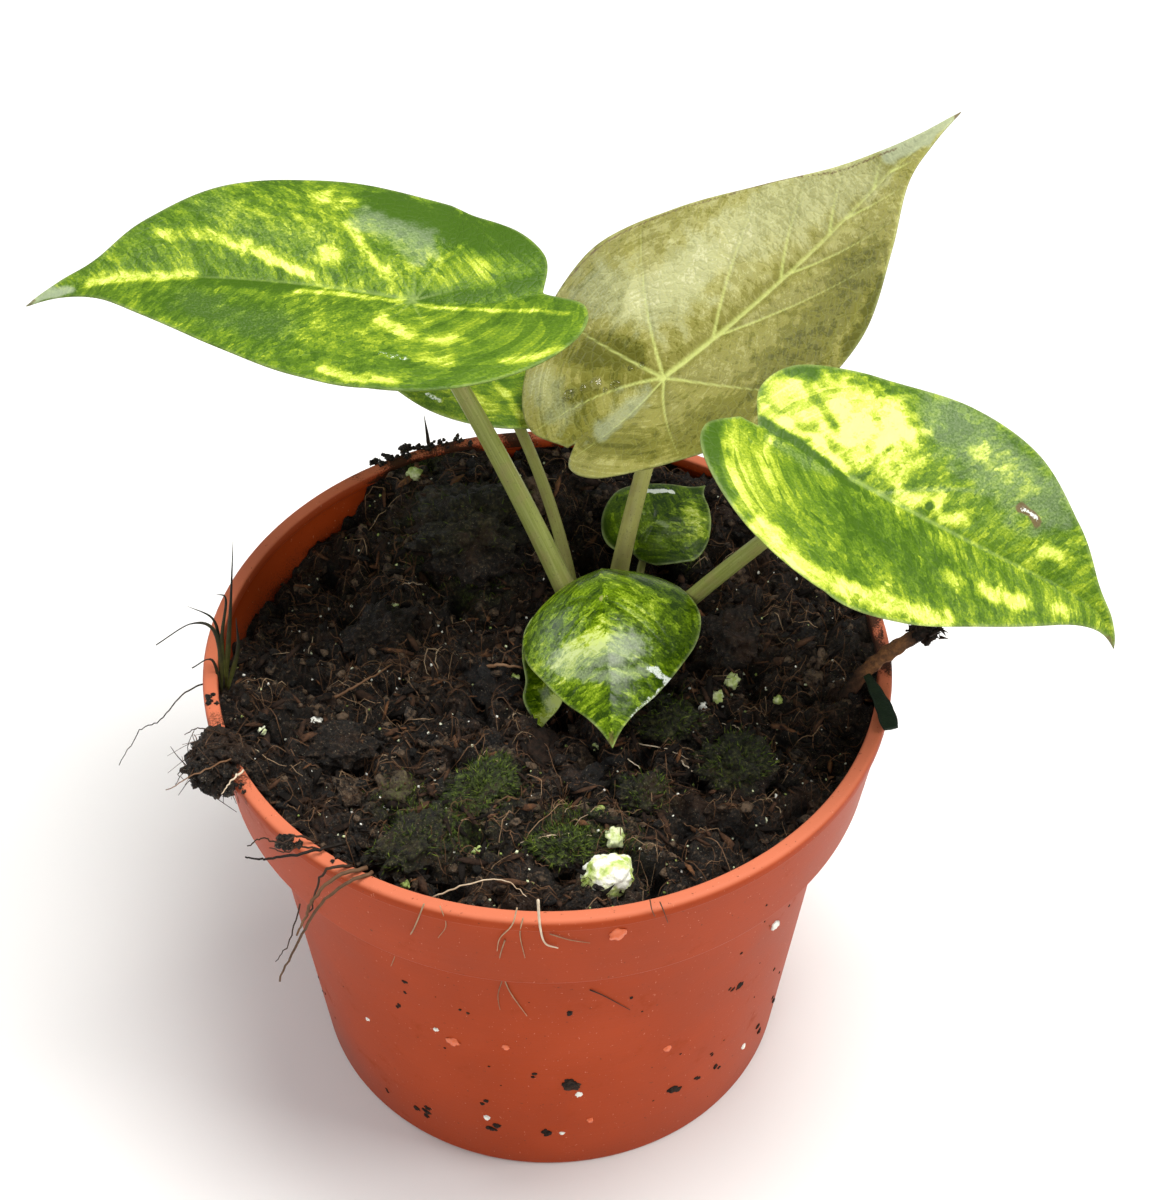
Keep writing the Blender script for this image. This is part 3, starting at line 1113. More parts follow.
def blade_frame(leaf):
    """Columns: the blade's direction, its left and its upper normal at the seat."""
    heading, rise, roll = (radians(leaf[key]) for key in ("heading", "rise", "roll"))
    ahead = np.array([cos(rise) * cos(heading), cos(rise) * sin(heading), sin(rise)])
    level = np.array([-sin(heading), cos(heading), 0.0])
    above = np.cross(ahead, level)
    left = cos(roll) * level + sin(roll) * above
    return np.stack([ahead, left, np.cross(ahead, left)], 1)


class Blade:
    """The bent blade: maps flat leaf coordinates to places in the plant."""

    def __init__(self, leaf):
        self.leaf = leaf
        length = leaf["length"]
        along = np.linspace(MIDRIB_BACK, MIDRIB_FRONT, MIDRIB_STEPS + 1) * length
        front = np.clip(along, 0, None) / length
        back = np.clip(-along, 0, None) / length
        tip = (np.clip(along / length - TIP_BEND_START, 0, None) / (1 - TIP_BEND_START)) ** TIP_BEND_POWER
        droop = np.radians(leaf["droop"])
        sway = np.radians(leaf["sway"])
        twist = np.radians(leaf["twist"])
        pitch = droop[1] * front + droop[2] * tip - droop[0] * back
        yaw = sway[1] * front + sway[2] * tip - sway[0] * back
        roll = twist[1] * front - twist[0] * back
        ahead = np.stack([np.cos(pitch) * np.cos(yaw), np.cos(pitch) * np.sin(yaw), -np.sin(pitch)], 1)
        level = np.stack([-np.sin(yaw), np.cos(yaw), 0 * yaw], 1)
        above = np.cross(ahead, level)
        self.along = along
        self.side = np.cos(roll)[:, None] * level + np.sin(roll)[:, None] * above
        self.up = np.cos(roll)[:, None] * above - np.sin(roll)[:, None] * level
        step = along[1] - along[0]
        midrib = np.vstack([np.zeros(3), np.cumsum((ahead[1:] + ahead[:-1]) * step / 2, 0)])
        seat = [np.interp(0.0, along, midrib[:, axis]) for axis in range(3)]
        self.midrib = midrib - seat
        self.frame = blade_frame(leaf)

    def read(self, rows, x):
        return np.stack([np.interp(x, self.along, rows[:, axis]) for axis in range(3)], -1)

    def place(self, x, y):
        """Places of the flat points (x along the midrib, y to its left)."""
        x = np.asarray(x, float)
        y = np.asarray(y, float)
        left = y >= 0
        fold = np.where(left, *np.radians(self.leaf["fold"]))
        curl = np.where(left, *np.radians(self.leaf["curl"])) / self.leaf["length"]
        slope = fold - curl * np.abs(y)
        out = (np.sin(fold) - np.sin(slope)) / curl * np.where(left, 1, -1)
        lift = (np.cos(slope) - np.cos(fold)) / curl
        local = self.read(self.midrib, x) + self.read(self.side, x) * out[..., None]
        local = local + self.read(self.up, x) * lift[..., None]
        return local @ self.frame.T + np.array(self.leaf["seat"])

    def normal(self, x, y, reach=0.6):
        """Upper normals of the flat points, over a small neighbourhood that rounds the fold at the midrib."""
        ahead = self.place(x + reach, y) - self.place(x - reach, y)
        left = self.place(x, y + reach) - self.place(x, y - reach)
        normal = np.cross(ahead, left)
        return normal / np.linalg.norm(normal, axis=-1, keepdims=True)


def vein_paths(leaf, outline):
    """The midrib and the side veins in the flat blade: (path, half widths at start and end, is midrib)."""
    length = leaf["length"]
    scale = min(length / 60, 1.0)
    small = length < LARGE_LENGTH
    widths = tuple(width * (SMALL_VEINS if small else 1.0) for width in VEIN_WIDTH)
    midrib_widths = tuple(width * (SMALL_VEINS if small else 1.0) for width in MIDRIB_WIDTH)
    ends = np.array([(0.0, 0.0), (0.99 * length, 0.0)])
    paths = [(ends, midrib_widths, True)]
    for side, veins in zip((1, -1), BACK_VEINS if leaf is LEAVES["back"] else (VEINS, VEINS)):
        for start, bearing, turn in veins:
            if small and start in SMALL_SKIPS:
                continue
            spot = np.array([start * length, 0.0])
            angle = radians(bearing)
            path = [spot]
            for _ in range(80):
                spot = spot + VEIN_STEP * scale * np.array([cos(angle), side * sin(angle)])
                if room_to(outline, spot) < VEIN_END * scale:
                    break
                path.append(spot)
                angle -= radians(turn) * VEIN_STEP / 10
            if len(path) > 3:
                paths.append((np.array(path), widths, False))
    return paths


def falloff(distance, half_width):
    """1 on a mark's path, 0.5 at its half width and 0 at 1.6 times that."""
    share = np.clip((1.6 - distance / half_width) / 1.2, 0, 1)
    return share * share * (3 - 2 * share)


def waves(points, size, seed):
    """Noise from about -1 to 1 at flat points."""
    return np.array([noise.noise(Vector((x / size, y / size, seed))) for x, y in points])


def grain_of(flat):
    """Coordinates that run with the veins: along one, across them, and which side of the midrib."""
    x, y = flat.T
    out = np.abs(y)
    across = x - GRAIN_SLOPE * out - GRAIN_BEND * out ** 2
    radius = np.hypot(x, y)
    across = np.where(across > 0, across, across * GRAIN_FAN / (GRAIN_FAN + radius))
    return np.stack([radius, across, 2 * np.tanh(y / 0.5)], 1)


def build_blade(key, leaf, paints, photo):
    """One leaf blade with its veins, its bulges between them, its marks and its thin edge."""
    small = leaf["length"] < LARGE_LENGTH
    paint, paleness, (midrib_shows, near_shows, far_shows), light_edge = FINISH[key]
    outline = margin(leaf, MARGIN_STEPS[small])
    flat, triangles = filled(outline, LEAF_SPACING[small])
    blade = Blade(leaf)
    base = blade.place(flat[:, 0], flat[:, 1])
    normal = blade.normal(flat[:, 0], flat[:, 1])
    scale = SMALL_SCALE if small else 1.0
    to_margin, _ = margin_distance(flat, outline)
    near = np.exp(-np.hypot(*flat.T) / (VEIN_FADE * scale))

    vein = np.zeros(len(flat))
    ridge = np.zeros(len(flat))
    groove = np.zeros(len(flat))
    beside = np.zeros(len(flat))
    to_vein = np.full(len(flat), 1e9)
    for path, widths, is_midrib in vein_paths(leaf, outline):
        away, share = path_distance(flat, path)
        width = widths[0] + (widths[1] - widths[0]) * share
        line = np.exp(-(away / width) ** 2) * (1 - 0.5 * share)
        shows = midrib_shows if is_midrib else near_shows * near + far_shows * (1 - near)
        vein = np.maximum(vein, line * shows)
        beside = np.maximum(beside, shows * np.exp(-((away - 2.2 * width) / width) ** 2))
        groove = np.maximum(groove, line)
        height = (MIDRIB_RIDGE if is_midrib else RIDGE) * scale * (1 - 0.8 * share)
        ridge = np.maximum(ridge, height * np.exp(-(away / (1.25 * width)) ** 2))
        to_vein = np.minimum(to_vein, away)

    inner = np.clip(to_margin / (INNER_REACH * scale), 0, 1)
    relief = 0.45 + 1.2 * far_shows
    bulge = QUILT * relief * scale * (1 - np.exp(-(to_vein / (QUILT_REACH * scale)) ** 2)) * inner
    bulge += RIPPLE[0] * scale * waves(flat, RIPPLE[1] * scale, 3.0) * inner
    outer = np.exp(-to_margin / (MARGIN_WAVE[2] * scale))
    bulge += MARGIN_WAVE[0] * scale * outer * waves(flat, MARGIN_WAVE[1] * scale, 8.0)
    bulge -= GROOVE * scale * groove
    share = np.clip(to_margin / (EDGE_REACH * scale), 0, 1)
    thickness = THIN_EDGE + (FULL_THICKNESS - THIN_EDGE) * share
    top = base + normal * bulge[:, None]
    bottom = base + normal * (bulge - thickness - ridge * share)[:, None]

    fields = {kind: np.zeros(len(flat)) for kind in ("pale", "sheen", "glint", "brown")}
    fields["pale"] += paleness
    pixels = photo.pixels(base)
    ragged = RAGGED[0] * waves(flat, RAGGED[1] * scale, 5.0)
    for kind, marks in MARKS[key].items():
        for strength, half_width, *path in marks:
            spots = [flat[np.hypot(*(pixels - spot).T).argmin()] for spot in np.reshape(path, (-1, 2))]
            away, _ = path_distance(flat, through_points(spots, 6))
            amount = strength * falloff(away * (1 + ragged), half_width)
            fields[kind] = fields[kind] + amount if kind == "pale" else np.maximum(fields[kind], amount)
    edge = light_edge * np.exp(-(to_margin / LIGHT_EDGE) ** 2)

    count = len(flat)
    rim = len(outline)
    faces = [tuple(face) for face in triangles]
    faces += [tuple(count + corner for corner in reversed(face)) for face in triangles]
    faces += [(i, count + i, count + (i + 1) % rim, (i + 1) % rim) for i in range(rim)]
    fields.update(vein=vein, edge=edge, beside=beside * far_shows)
    both = {name: np.tile(values, 2) for name, values in fields.items()}
    item = mesh_object(
        f"leaf_{key}", np.vstack([top, bottom]), faces, paints[paint], under=np.repeat((0.0, 1.0), count),
        flat=np.tile(np.column_stack([flat, 0 * edge]), (2, 1)), grain=np.tile(grain_of(flat), (2, 1)),
        **both)
    outward(item)
    hand_in(item, "leaf_bronze" if paint == "bronze" else "leaf_green", f"blade_{key}")
    return top, normal, pixels


def ring_faces(rings, sides):
    """Faces of a closed tube: its rings of points come first, and then the middle points of its two ends."""
    faces = []
    for ring in range(rings - 1):
        for number in range(sides):
            a, b = ring * sides + number, ring * sides + (number + 1) % sides
            faces.append((a, b, b + sides, a + sides))
    middle, last = rings * sides, (rings - 1) * sides
    for number in range(sides):
        after = (number + 1) % sides
        faces += [(middle, after, number), (middle + 1, last + number, last + after)]
    return faces


def tube(path, radii, sides=8, section=None):
    """Places and faces of a closed tube along a path. A section is one factor of the radius for each side."""
    path = np.asarray(path, float)
    radii = np.broadcast_to(radii, len(path))
    section = np.ones(sides) if section is None else section
    ahead = np.gradient(path, axis=0)
    ahead /= np.maximum(np.linalg.norm(ahead, axis=1, keepdims=True), 1e-9)
    side = np.cross(ahead[0], (0.0, 0.0, 1.0))
    if np.linalg.norm(side) < 0.1:
        side = unit(np.cross(ahead[0], (0.0, 1.0, 0.0)))
    angles = np.arange(sides) * 2 * pi / sides
    places = []
    for point, direction, radius in zip(path, ahead, radii):
        side = unit(side - direction * (side @ direction))
        above = np.cross(side, direction)
        ring = np.outer(np.cos(angles) * section, side) + np.outer(np.sin(angles) * section, above)
        places.append(point + radius * ring)
    places.append(path[:1])
    places.append(path[-1:])
    return np.vstack(places), ring_faces(len(path), sides)


def build_petiole(key, leaf, material):
    """A petiole from its foot in the soil into the underside of its blade."""
    seat = Vector(leaf["seat"])
    normal = Vector(blade_frame(leaf)[:, 2])
    root = Vector((*leaf["root"], soil_height(*leaf["root"])))
    knee = Vector(leaf["knee"])
    lean = (seat - knee).normalized()
    slant = math.sqrt(max(0.0, 1 - lean.dot(normal) ** 2))
    below = BLADE + 2 * SOIL_GAP + 0.5 * leaf["thick"][1] * slant
    end = seat - normal * below
    bend = knee * 2 - (root + end) / 2
    path = [root - Vector((0, 0, depth)) for depth in (PETIOLE_ROOT, 0.5 * PETIOLE_ROOT)]
    for number in range(PETIOLE_SPANS + 1):
        t = number / PETIOLE_SPANS
        path.append(root * (1 - t) ** 2 + bend * 2 * t * (1 - t) + end * t ** 2)
    path.append(end + normal * (below - 0.75 * FULL_THICKNESS) + lean * 0.3)
    path = np.array([tuple(point) for point in path])
    gone = np.concatenate([[0], np.cumsum(np.linalg.norm(np.diff(path, axis=0), axis=1))])
    share = gone / gone[-1]
    widths = leaf["thick"][0] + (leaf["thick"][1] - leaf["thick"][0]) * share ** PETIOLE_TAPER
    from_soil = np.abs(gone - PETIOLE_ROOT)
    flare = PETIOLE_FOOT_FLARE * np.exp(-(from_soil / PETIOLE_FLARE_REACH) ** 2) * (gone >= PETIOLE_ROOT - 1)
    radii = 0.5 * widths * (1 + flare)
    radii[-1] *= 0.8
    angles = np.arange(PETIOLE_SIDES) * 2 * pi / PETIOLE_SIDES
    ribs = PETIOLE_RIBS[0] * np.cos(PETIOLE_RIBS[1] * angles)
    section = 1 + ribs - PETIOLE_GROOVE[0] * np.exp(-((angles - pi / 2) / PETIOLE_GROOVE[1]) ** 2)
    places, faces = tube(path, radii, PETIOLE_SIDES, section)
    around = np.tile(angles, len(path))
    grain = np.zeros((len(places), 3))
    grain[:len(around), 0] = np.repeat(gone, PETIOLE_SIDES)
    grain[:len(around), 1] = 2.2 * np.cos(around)
    grain[:len(around), 2] = 2.2 * np.sin(around)
    foot = np.zeros(len(places))
    foot[:len(around)] = np.repeat(np.exp(-np.clip(gone - PETIOLE_ROOT, 0, None) / 3.0), PETIOLE_SIDES)
    item = mesh_object(f"petiole_{key}_fine", places, faces, material, grain=grain, root=0.75 * foot,
                       paleness=np.full(len(places), PETIOLE_PALENESS.get(key, 0.0)))
    outward(item)
    return hand_in(item, "petiole", f"petiole_{key}")


def collar_radius(height):
    """The collar's outer radius at a height."""
    share = (height - (POT_HEIGHT - COLLAR_HEIGHT)) / COLLAR_HEIGHT
    return COLLAR_FOOT_RADIUS + share * (RIM_RADIUS - COLLAR_FOOT_RADIUS)


def outer_radius(height):
    """The pot's outer radius at a height."""
    if height >= STEP_TOP:
        return collar_radius(height)
    share = min(height / STEP_FOOT, 1.0)
    return BASE_RADIUS + share * (BODY_TOP_RADIUS - BASE_RADIUS)


def rounded(profile, steps=5):
    """A profile of (radius, height, rounding) corners, each one rounded, as (radius, height) points."""
    corners = [np.array(corner[:2], float) for corner in profile]
    points = []
    for number, corner in enumerate(corners):
        size = profile[number][2]
        if number in (0, len(corners) - 1) or not size:
            points.append(corner)
            continue
        before = corners[number - 1] - corner
        after = corners[number + 1] - corner
        start = corner + before * min(size / np.linalg.norm(before), 0.5)
        end = corner + after * min(size / np.linalg.norm(after), 0.5)
        for step in range(steps + 1):
            t = step / steps
            points.append(start * (1 - t) ** 2 + corner * 2 * t * (1 - t) + end * t ** 2)
    return np.array(points)


def build_pot(material):
    """The pot, turned from a rounded profile, with a slight wobble and its drain holes."""
    lip_foot = POT_HEIGHT - LIP_DEPTH
    lip_inner = RIM_RADIUS - LIP_WIDTH
    inner_waist = BODY_TOP_RADIUS - WALL
    profile = rounded([
        (0.0, FLOOR, 0),
        (BASE_RADIUS - WALL, FLOOR, 1.2),
        (inner_waist, INNER_STEP_FOOT, 1.0),
        (collar_radius(INNER_STEP_TOP) - WALL, INNER_STEP_TOP, 1.0),
        (collar_radius(lip_foot - 0.7) - WALL, lip_foot - 0.7, 0.4),
        (lip_inner, lip_foot, 0.4),
        (lip_inner, POT_HEIGHT, 0.55),
        (RIM_RADIUS, POT_HEIGHT, 0.95),
        (RIM_RADIUS, lip_foot + 0.2, 0.3),
        (collar_radius(lip_foot) - 0.15, lip_foot - 0.2, 0.2),
        (COLLAR_FOOT_RADIUS, STEP_TOP, 0.8),
        (BODY_TOP_RADIUS, STEP_FOOT, 0.8),
        (0.5 * (BASE_RADIUS + BODY_TOP_RADIUS), 0.5 * STEP_FOOT, 0),
        (BASE_RADIUS, 0.0, 0.9),
        (0.0, 0.0, 0),
    ])
    rings = profile[1:-1]
    angles = np.arange(POT_STEPS) * 2 * pi / POT_STEPS
    wobble = np.array([[noise.noise(Vector((1.6 * cos(angle), 1.6 * sin(angle), height / 40)))
                        for angle in angles] for _, height in rings])
    radii = rings[:, :1] + POT_WOBBLE * wobble * (rings[:, :1] / RIM_RADIUS)
    places = np.stack([radii * np.cos(angles), radii * np.sin(angles),
                       np.repeat(rings[:, 1:], POT_STEPS, 1)], -1)
    places = np.vstack([places.reshape(-1, 3), [(0, 0, FLOOR)], [(0, 0, 0)]])
    pot = mesh_object("pot_shell", places, ring_faces(len(rings), POT_STEPS), material)
    outward(pot)
    cut_drains(pot)
    soil_pot(pot)
    return hand_in(pot, "pot_plastic", "pot")


def cut_drains(pot):
    edit = bmesh.new()
    for number in range(DRAIN_COUNT):
        angle = 2 * pi * (number + DRAIN_TURN) / DRAIN_COUNT
        spot = Vector((DRAIN_RING * cos(angle), DRAIN_RING * sin(angle), 0.5 * FLOOR)) * MM
        bmesh.ops.create_cone(edit, cap_ends=True, segments=32, radius1=DRAIN_RADIUS * MM,
                              radius2=DRAIN_RADIUS * MM, depth=4 * FLOOR * MM,
                              matrix=Matrix.Translation(spot))
    mesh = bpy.data.meshes.new("drains")
    edit.to_mesh(mesh)
    edit.free()
    drains = link("drains", mesh)
    change = pot.modifiers.new("drains", "BOOLEAN")
    change.operation = "DIFFERENCE"
    change.object = drains
    change.solver = "EXACT"
    depsgraph = bpy.context.evaluated_depsgraph_get()
    made = bpy.data.meshes.new_from_object(pot.evaluated_get(depsgraph))
    pot.modifiers.clear()
    pot.data = made
    pot.data.shade_smooth()
    pot.data.set_sharp_from_angle(angle=radians(40))
    bpy.data.objects.remove(drains, do_unlink=True)


def soil_pot(pot):
    """Wear on the lip, and marks where wet soil has smeared the inner wall and the rim."""
    soiled = []
    worn = []
    for vertex in pot.data.vertices:
        x, y, z = vertex.co / MM
        rough = noise.noise(Vector((x, y, z)) / 3.0)
        amount = 0.0
        if math.hypot(x, y) < outer_radius(z) - 0.6 * WALL and z > STEP_TOP:
            amount = 1 - (z - soil_top(x, y) + 1.6 * rough) / 1.6
        if z > POT_HEIGHT - LIP_DEPTH + 0.3:
            for direction, half_width in RIM_SMEARS:
                away = abs((math.degrees(math.atan2(y, x)) - direction + 180) % 360 - 180)
                amount = max(amount, 0.75 * (1.3 - away / half_width) + 0.8 * rough)
        soiled.append(min(max(amount, 0.0), 0.9))
        worn.append(0.42 * min(max((z - POT_HEIGHT + 0.7) / 0.6, 0.0), 1.0))
    add_field(pot.data, "soiled", soiled)
    add_field(pot.data, "worn", worn)


def soil_height(x, y):
    """Height of the packed soil's top at a place."""
    height = SOIL_LEVEL
    for centre_x, centre_y, lift, spread in SOIL_FORMS:
        away = ((x - centre_x) ** 2 + (y - centre_y) ** 2) / (2 * spread ** 2)
        height += lift * math.exp(-away)
    height += CRUMB_HEIGHT * noise.noise(Vector((x, y, 0.0)) / CRUMB_SIZE)
    return min(height, SOIL_HIGHEST)


def soil_top(x, y):
    """Height of the shown soil's top: the packed soil's, heaped here and there and roughened into clods."""
    spot = Vector((x, y, 0.0))
    height = soil_height(x, y)
    for centre_x, centre_y, lift, spread in SOIL_HEAPS:
        height += lift * math.exp(-((x - centre_x) ** 2 + (y - centre_y) ** 2) / (2 * spread ** 2))
    clods = noise.turbulence(spot / CLOD_FORM[0], 2, True)
    ridges = noise.turbulence(spot / RIDGE_FORM[0] + Vector((5, 9, 2)), 4, True)
    pits = min(noise.noise(spot / PIT_FORM[0] + Vector((3, 1, 7))), 0.0)
    height = height + CLOD_FORM[1] * (clods - 0.5) + RIDGE_FORM[1] * (0.55 - ridges)
    return min(height + PIT_FORM[1] * pits + ROUGH_LIFT, SOIL_CEILING)


def moss_amount(places, spots):
    """How mossy the places are, 0 to 1."""
    amount = np.zeros(len(places))
    for centre, spread in spots:
        away = np.hypot(*(places[:, :2] - centre[:2]).T)
        amount = np.maximum(amount, np.exp(-(away / spread) ** 2))
    return amount


def build_soil(material, spots):
    """The root ball: its rough top, and its plain sides and base inside the pot."""
    angles = np.arange(SOIL_RIM_STEPS) * 2 * pi / SOIL_RIM_STEPS
    radius = collar_radius(SOIL_LEVEL) - WALL - SOIL_EDGE_GAP
    outline = radius * np.stack([np.cos(angles), np.sin(angles)], 1)
    flat, triangles = filled(outline, SOIL_SPACING)
    height = np.array([soil_top(x, y) for x, y in flat])
    reach = (collar_radius(height) - WALL - SOIL_EDGE_GAP) / radius
    top = np.column_stack([flat * reach[:, None], height])
    count = len(top)
    rings = [(collar_radius(INNER_STEP_TOP) - WALL - SOIL_GAP, INNER_STEP_TOP + SOIL_GAP),
             (BODY_TOP_RADIUS - WALL - SOIL_GAP, INNER_STEP_FOOT + SOIL_GAP),
             (BASE_RADIUS - WALL - SOIL_GAP, FLOOR + SOIL_GAP)]
    places = [top]
    for ring_radius, ring_height in rings:
        places.append(np.column_stack([outline / radius * ring_radius, np.full(SOIL_RIM_STEPS, ring_height)]))
    places.append(np.array([(0.0, 0.0, FLOOR + SOIL_GAP)]))
    faces = [tuple(face) for face in triangles]
    starts = [0] + [count + number * SOIL_RIM_STEPS for number in range(len(rings))]
    for first, second in zip(starts, starts[1:]):
        faces += [(first + i, first + (i + 1) % SOIL_RIM_STEPS, second + (i + 1) % SOIL_RIM_STEPS, second + i)
                  for i in range(SOIL_RIM_STEPS)]
    centre = count + len(rings) * SOIL_RIM_STEPS
    faces += [(starts[-1] + i, starts[-1] + (i + 1) % SOIL_RIM_STEPS, centre) for i in range(SOIL_RIM_STEPS)]
    places = np.vstack(places)
    level = np.array([soil_height(x, y) for x, y, _ in places])
    deep = np.clip((level - places[:, 2] + 0.3) / 2.0, 0, 1)
    item = mesh_object("soil_ball", places, faces, material, moss=moss_amount(places, spots), deep=deep)
    outward(item)
    return hand_in(item, "soil", "soil")


def sphere(detail):
    """Directions and faces of a sphere of triangles: 20 faces at detail 1, and four times as many a step."""
    edit = bmesh.new()
    bmesh.ops.create_icosphere(edit, subdivisions=detail, radius=1.0)
    places = np.array([tuple(vertex.co) for vertex in edit.verts])
    faces = [tuple(vertex.index for vertex in face.verts) for face in edit.faces]
    edit.free()
    return places, faces


def lump(form, size, rough, draw, wave=1.6, lean=0.6):
    """Places of a rough rounded bit around the origin, turned at random."""
    offset = Vector([draw.uniform(-50, 50) for _ in range(3)])
    push = np.array([noise.noise(Vector(direction) * wave + offset) for direction in form])
    places = form * (1 + 2 * rough * push)[:, None] * (np.asarray(size) / 2)
    turn = (Matrix.Rotation(draw.uniform(0, 2 * pi), 3, "Z")
            @ Matrix.Rotation(draw.uniform(-lean, lean), 3, "X")
            @ Matrix.Rotation(draw.uniform(-lean, lean), 3, "Y"))
    return places @ np.array(turn).T


def unit(vector):
    """The vector at a length of 1."""
    return vector / np.linalg.norm(vector)


def scatter(draw, *axes):
    """A random vector, from the middle and the spread of each axis."""
    return np.array([draw.gauss(*axis) for axis in axes])


def random_spot(draw, radius):
    distance = radius * math.sqrt(draw.random())
    angle = draw.uniform(0, 2 * pi)
    return distance * cos(angle), distance * sin(angle)


def build_crumbs(material, spots):
    """Clods and loose crumbs over the whole soil, most of them small."""
    draw = random.Random(21)
    batch = Batch()
    for detail, count, (least, most), rough in ((3, CLOD_COUNT, CLOD_RANGE, 0.5),
                                                (1, CRUMB_COUNT, CRUMB_RANGE, 0.4)):
        form, faces = sphere(detail)
        for _ in range(count):
            x, y = random_spot(draw, SOIL_REACH - 0.4 * least)
            size = least + (most - least) * draw.random() ** 3
            shape = size * np.array([draw.uniform(0.7, 1.3), draw.uniform(0.7, 1.3), draw.uniform(0.5, 0.8)])
            lift = 0.20 * size if detail == 1 else -0.15 * size
            batch.add(lump(form, shape, rough, draw, 2.4) + (x, y, soil_top(x, y) + lift), faces,
                      draw.random())
    item = batch.object("soil_crumbs", material)
    moss = 0.8 * moss_amount(np.vstack(batch.places), spots)
    add_field(item.data, "moss", moss)
    light = 0.5 * (np.concatenate(batch.tints) - 0.5)
    add_field(item.data, "light", light)
    return hand_in(item, "soil")


def build_flakes(material):
    """Shreds of bark and coir that lie at all angles."""
    draw = random.Random(8)
    form, faces = sphere(1)
    batch = Batch()
    for _ in range(FLAKE_COUNT):
        x, y = random_spot(draw, SOIL_REACH - 0.5)
        length = FLAKE_RANGE[0] + (FLAKE_RANGE[1] - FLAKE_RANGE[0]) * draw.random() ** 2.5
        shape = length * np.array([1.0, draw.uniform(0.12, 0.35), draw.uniform(0.08, 0.20)])
        places = lump(form, shape, 0.5, draw, 2.2, 0.7) + (x, y, soil_top(x, y) + 0.15 * length)
        batch.add(places, faces, 0.8 * draw.random() ** 1.4)
    return hand_in(batch.object("soil_flakes", material), "soil")


def build_fibres(material):
    """Fine roots and plant fibres that lie criss-cross on the soil."""
    draw = random.Random(5)
    batch = Batch()
    for count, lengths, tints, wander in FIBRE_KINDS:
        for _ in range(count):
            x, y = random_spot(draw, SOIL_REACH - 1)
            heading = draw.uniform(0, 2 * pi)
            turn = draw.uniform(-wander, wander)
            length = draw.uniform(*lengths)
            rise = draw.uniform(0.1, 1.6)
            steps = 9
            path = []
            for step in range(steps + 1):
                if math.hypot(x, y) > SOIL_REACH:
                    break
                arch = rise * sin(pi * step / steps) + draw.uniform(0.0, 0.4)
                path.append((x, y, soil_top(x, y) + 0.2 + arch))
                heading += turn + draw.uniform(-wander, wander)
                x += length / steps * cos(heading)
                y += length / steps * sin(heading)
            if len(path) > 4:
                radius = draw.uniform(*FIBRE_RADIUS)
                batch.add(*tube(path, radius * np.linspace(1.0, 0.4, len(path)), 4), draw.uniform(*tints))
    return hand_in(batch.object("soil_fibres", material), "soil")


def spike(foot, tip, width):
    """A thin pyramid from foot to tip."""
    foot, tip = np.array(foot), np.array(tip)
    ahead = (tip - foot) / np.linalg.norm(tip - foot)
    side = unit(np.cross(ahead, (0.31, 0.17, 0.93)))
    other = np.cross(ahead, side)
    turns = [cos(angle) * side + sin(angle) * other for angle in (0, 2 * pi / 3, 4 * pi / 3)]
    places = np.array([foot + 0.5 * width * turn for turn in turns] + [tip])
    return places, [(0, 2, 1), (0, 1, 3), (1, 2, 3), (2, 0, 3)]


def build_moss(material, spots, feet):
    """Tufts of moss: short leaning strands, close together in each mossy place's middle, and on clods."""
    draw = random.Random(31)
    batch = Batch()
    for centre, spread in spots:
        fresh = draw.uniform(0.25, 0.60)
        for _ in range(int(MOSS_DENSITY * spread ** 2)):
            x = draw.gauss(centre[0], 0.55 * spread)
            y = draw.gauss(centre[1], 0.55 * spread)
            if math.hypot(x, y) > SOIL_REACH:
                continue
            foot = np.array((x, y, soil_top(x, y) - 0.1))
            length = draw.uniform(*MOSS_LENGTH)
            lean = np.array((draw.gauss(0, 0.6), draw.gauss(0, 0.6), 1.0))
            tip = foot + length * lean / np.linalg.norm(lean)
            batch.add(*spike(foot, tip, 0.22), fresh + draw.uniform(-0.1, 0.3))
    for foot, out in feet:
        lean = out / np.linalg.norm(out) + np.array([draw.gauss(0, 0.5) for _ in range(3)])
        tip = foot + draw.uniform(*MOSS_LENGTH) * lean / np.linalg.norm(lean)
        batch.add(*spike(foot, tip, 0.22), draw.uniform(0.1, 0.7))
    return hand_in(batch.object("soil_moss", material), "soil")


def build_stones(material, photo):
    """Loose perlite: the bits that the photograph shows one by one, and fine specks at random."""
    draw = random.Random(14)
    batch = Batch()
    form, faces = sphere(3)
    for pixel, size, tint in STONES:
        centre = photo.on_soil(pixel, 0.3 * size)
        batch.add(lump(form, (size, 0.9 * size, 0.8 * size), 0.35, draw, 2.0) + centre, faces, tint)
    form, faces = sphere(1)
    for _ in range(SPECK_COUNT):
        x, y = random_spot(draw, SOIL_REACH - 1)
        size = draw.uniform(*SPECK_RANGE)
        batch.add(lump(form, (size,) * 3, 0.4, draw) + (x, y, soil_top(x, y) + 0.5 * size), faces,
                  draw.uniform(0.3, 0.9))
    return hand_in(batch.object("soil_stones", material), "perlite")


def rough_lump(detail, centre, size, turn, rough, wave):
    """Places and faces of a lump with bulges, pits and grains at four scales."""
    form, faces = sphere(detail)
    offset = Vector(centre) * 0.37
    push = np.zeros(len(form))
    for share, octave in OCTAVES:
        push += share * np.array([noise.noise(Vector(direction) * wave * octave + offset)
                                  for direction in form])
    places = form * (1 + rough * (1.2 * push - 0.15))[:, None] * (np.array(size) / 2)
    return places @ np.array(Matrix.Rotation(radians(turn), 3, "Z")).T + centre, faces


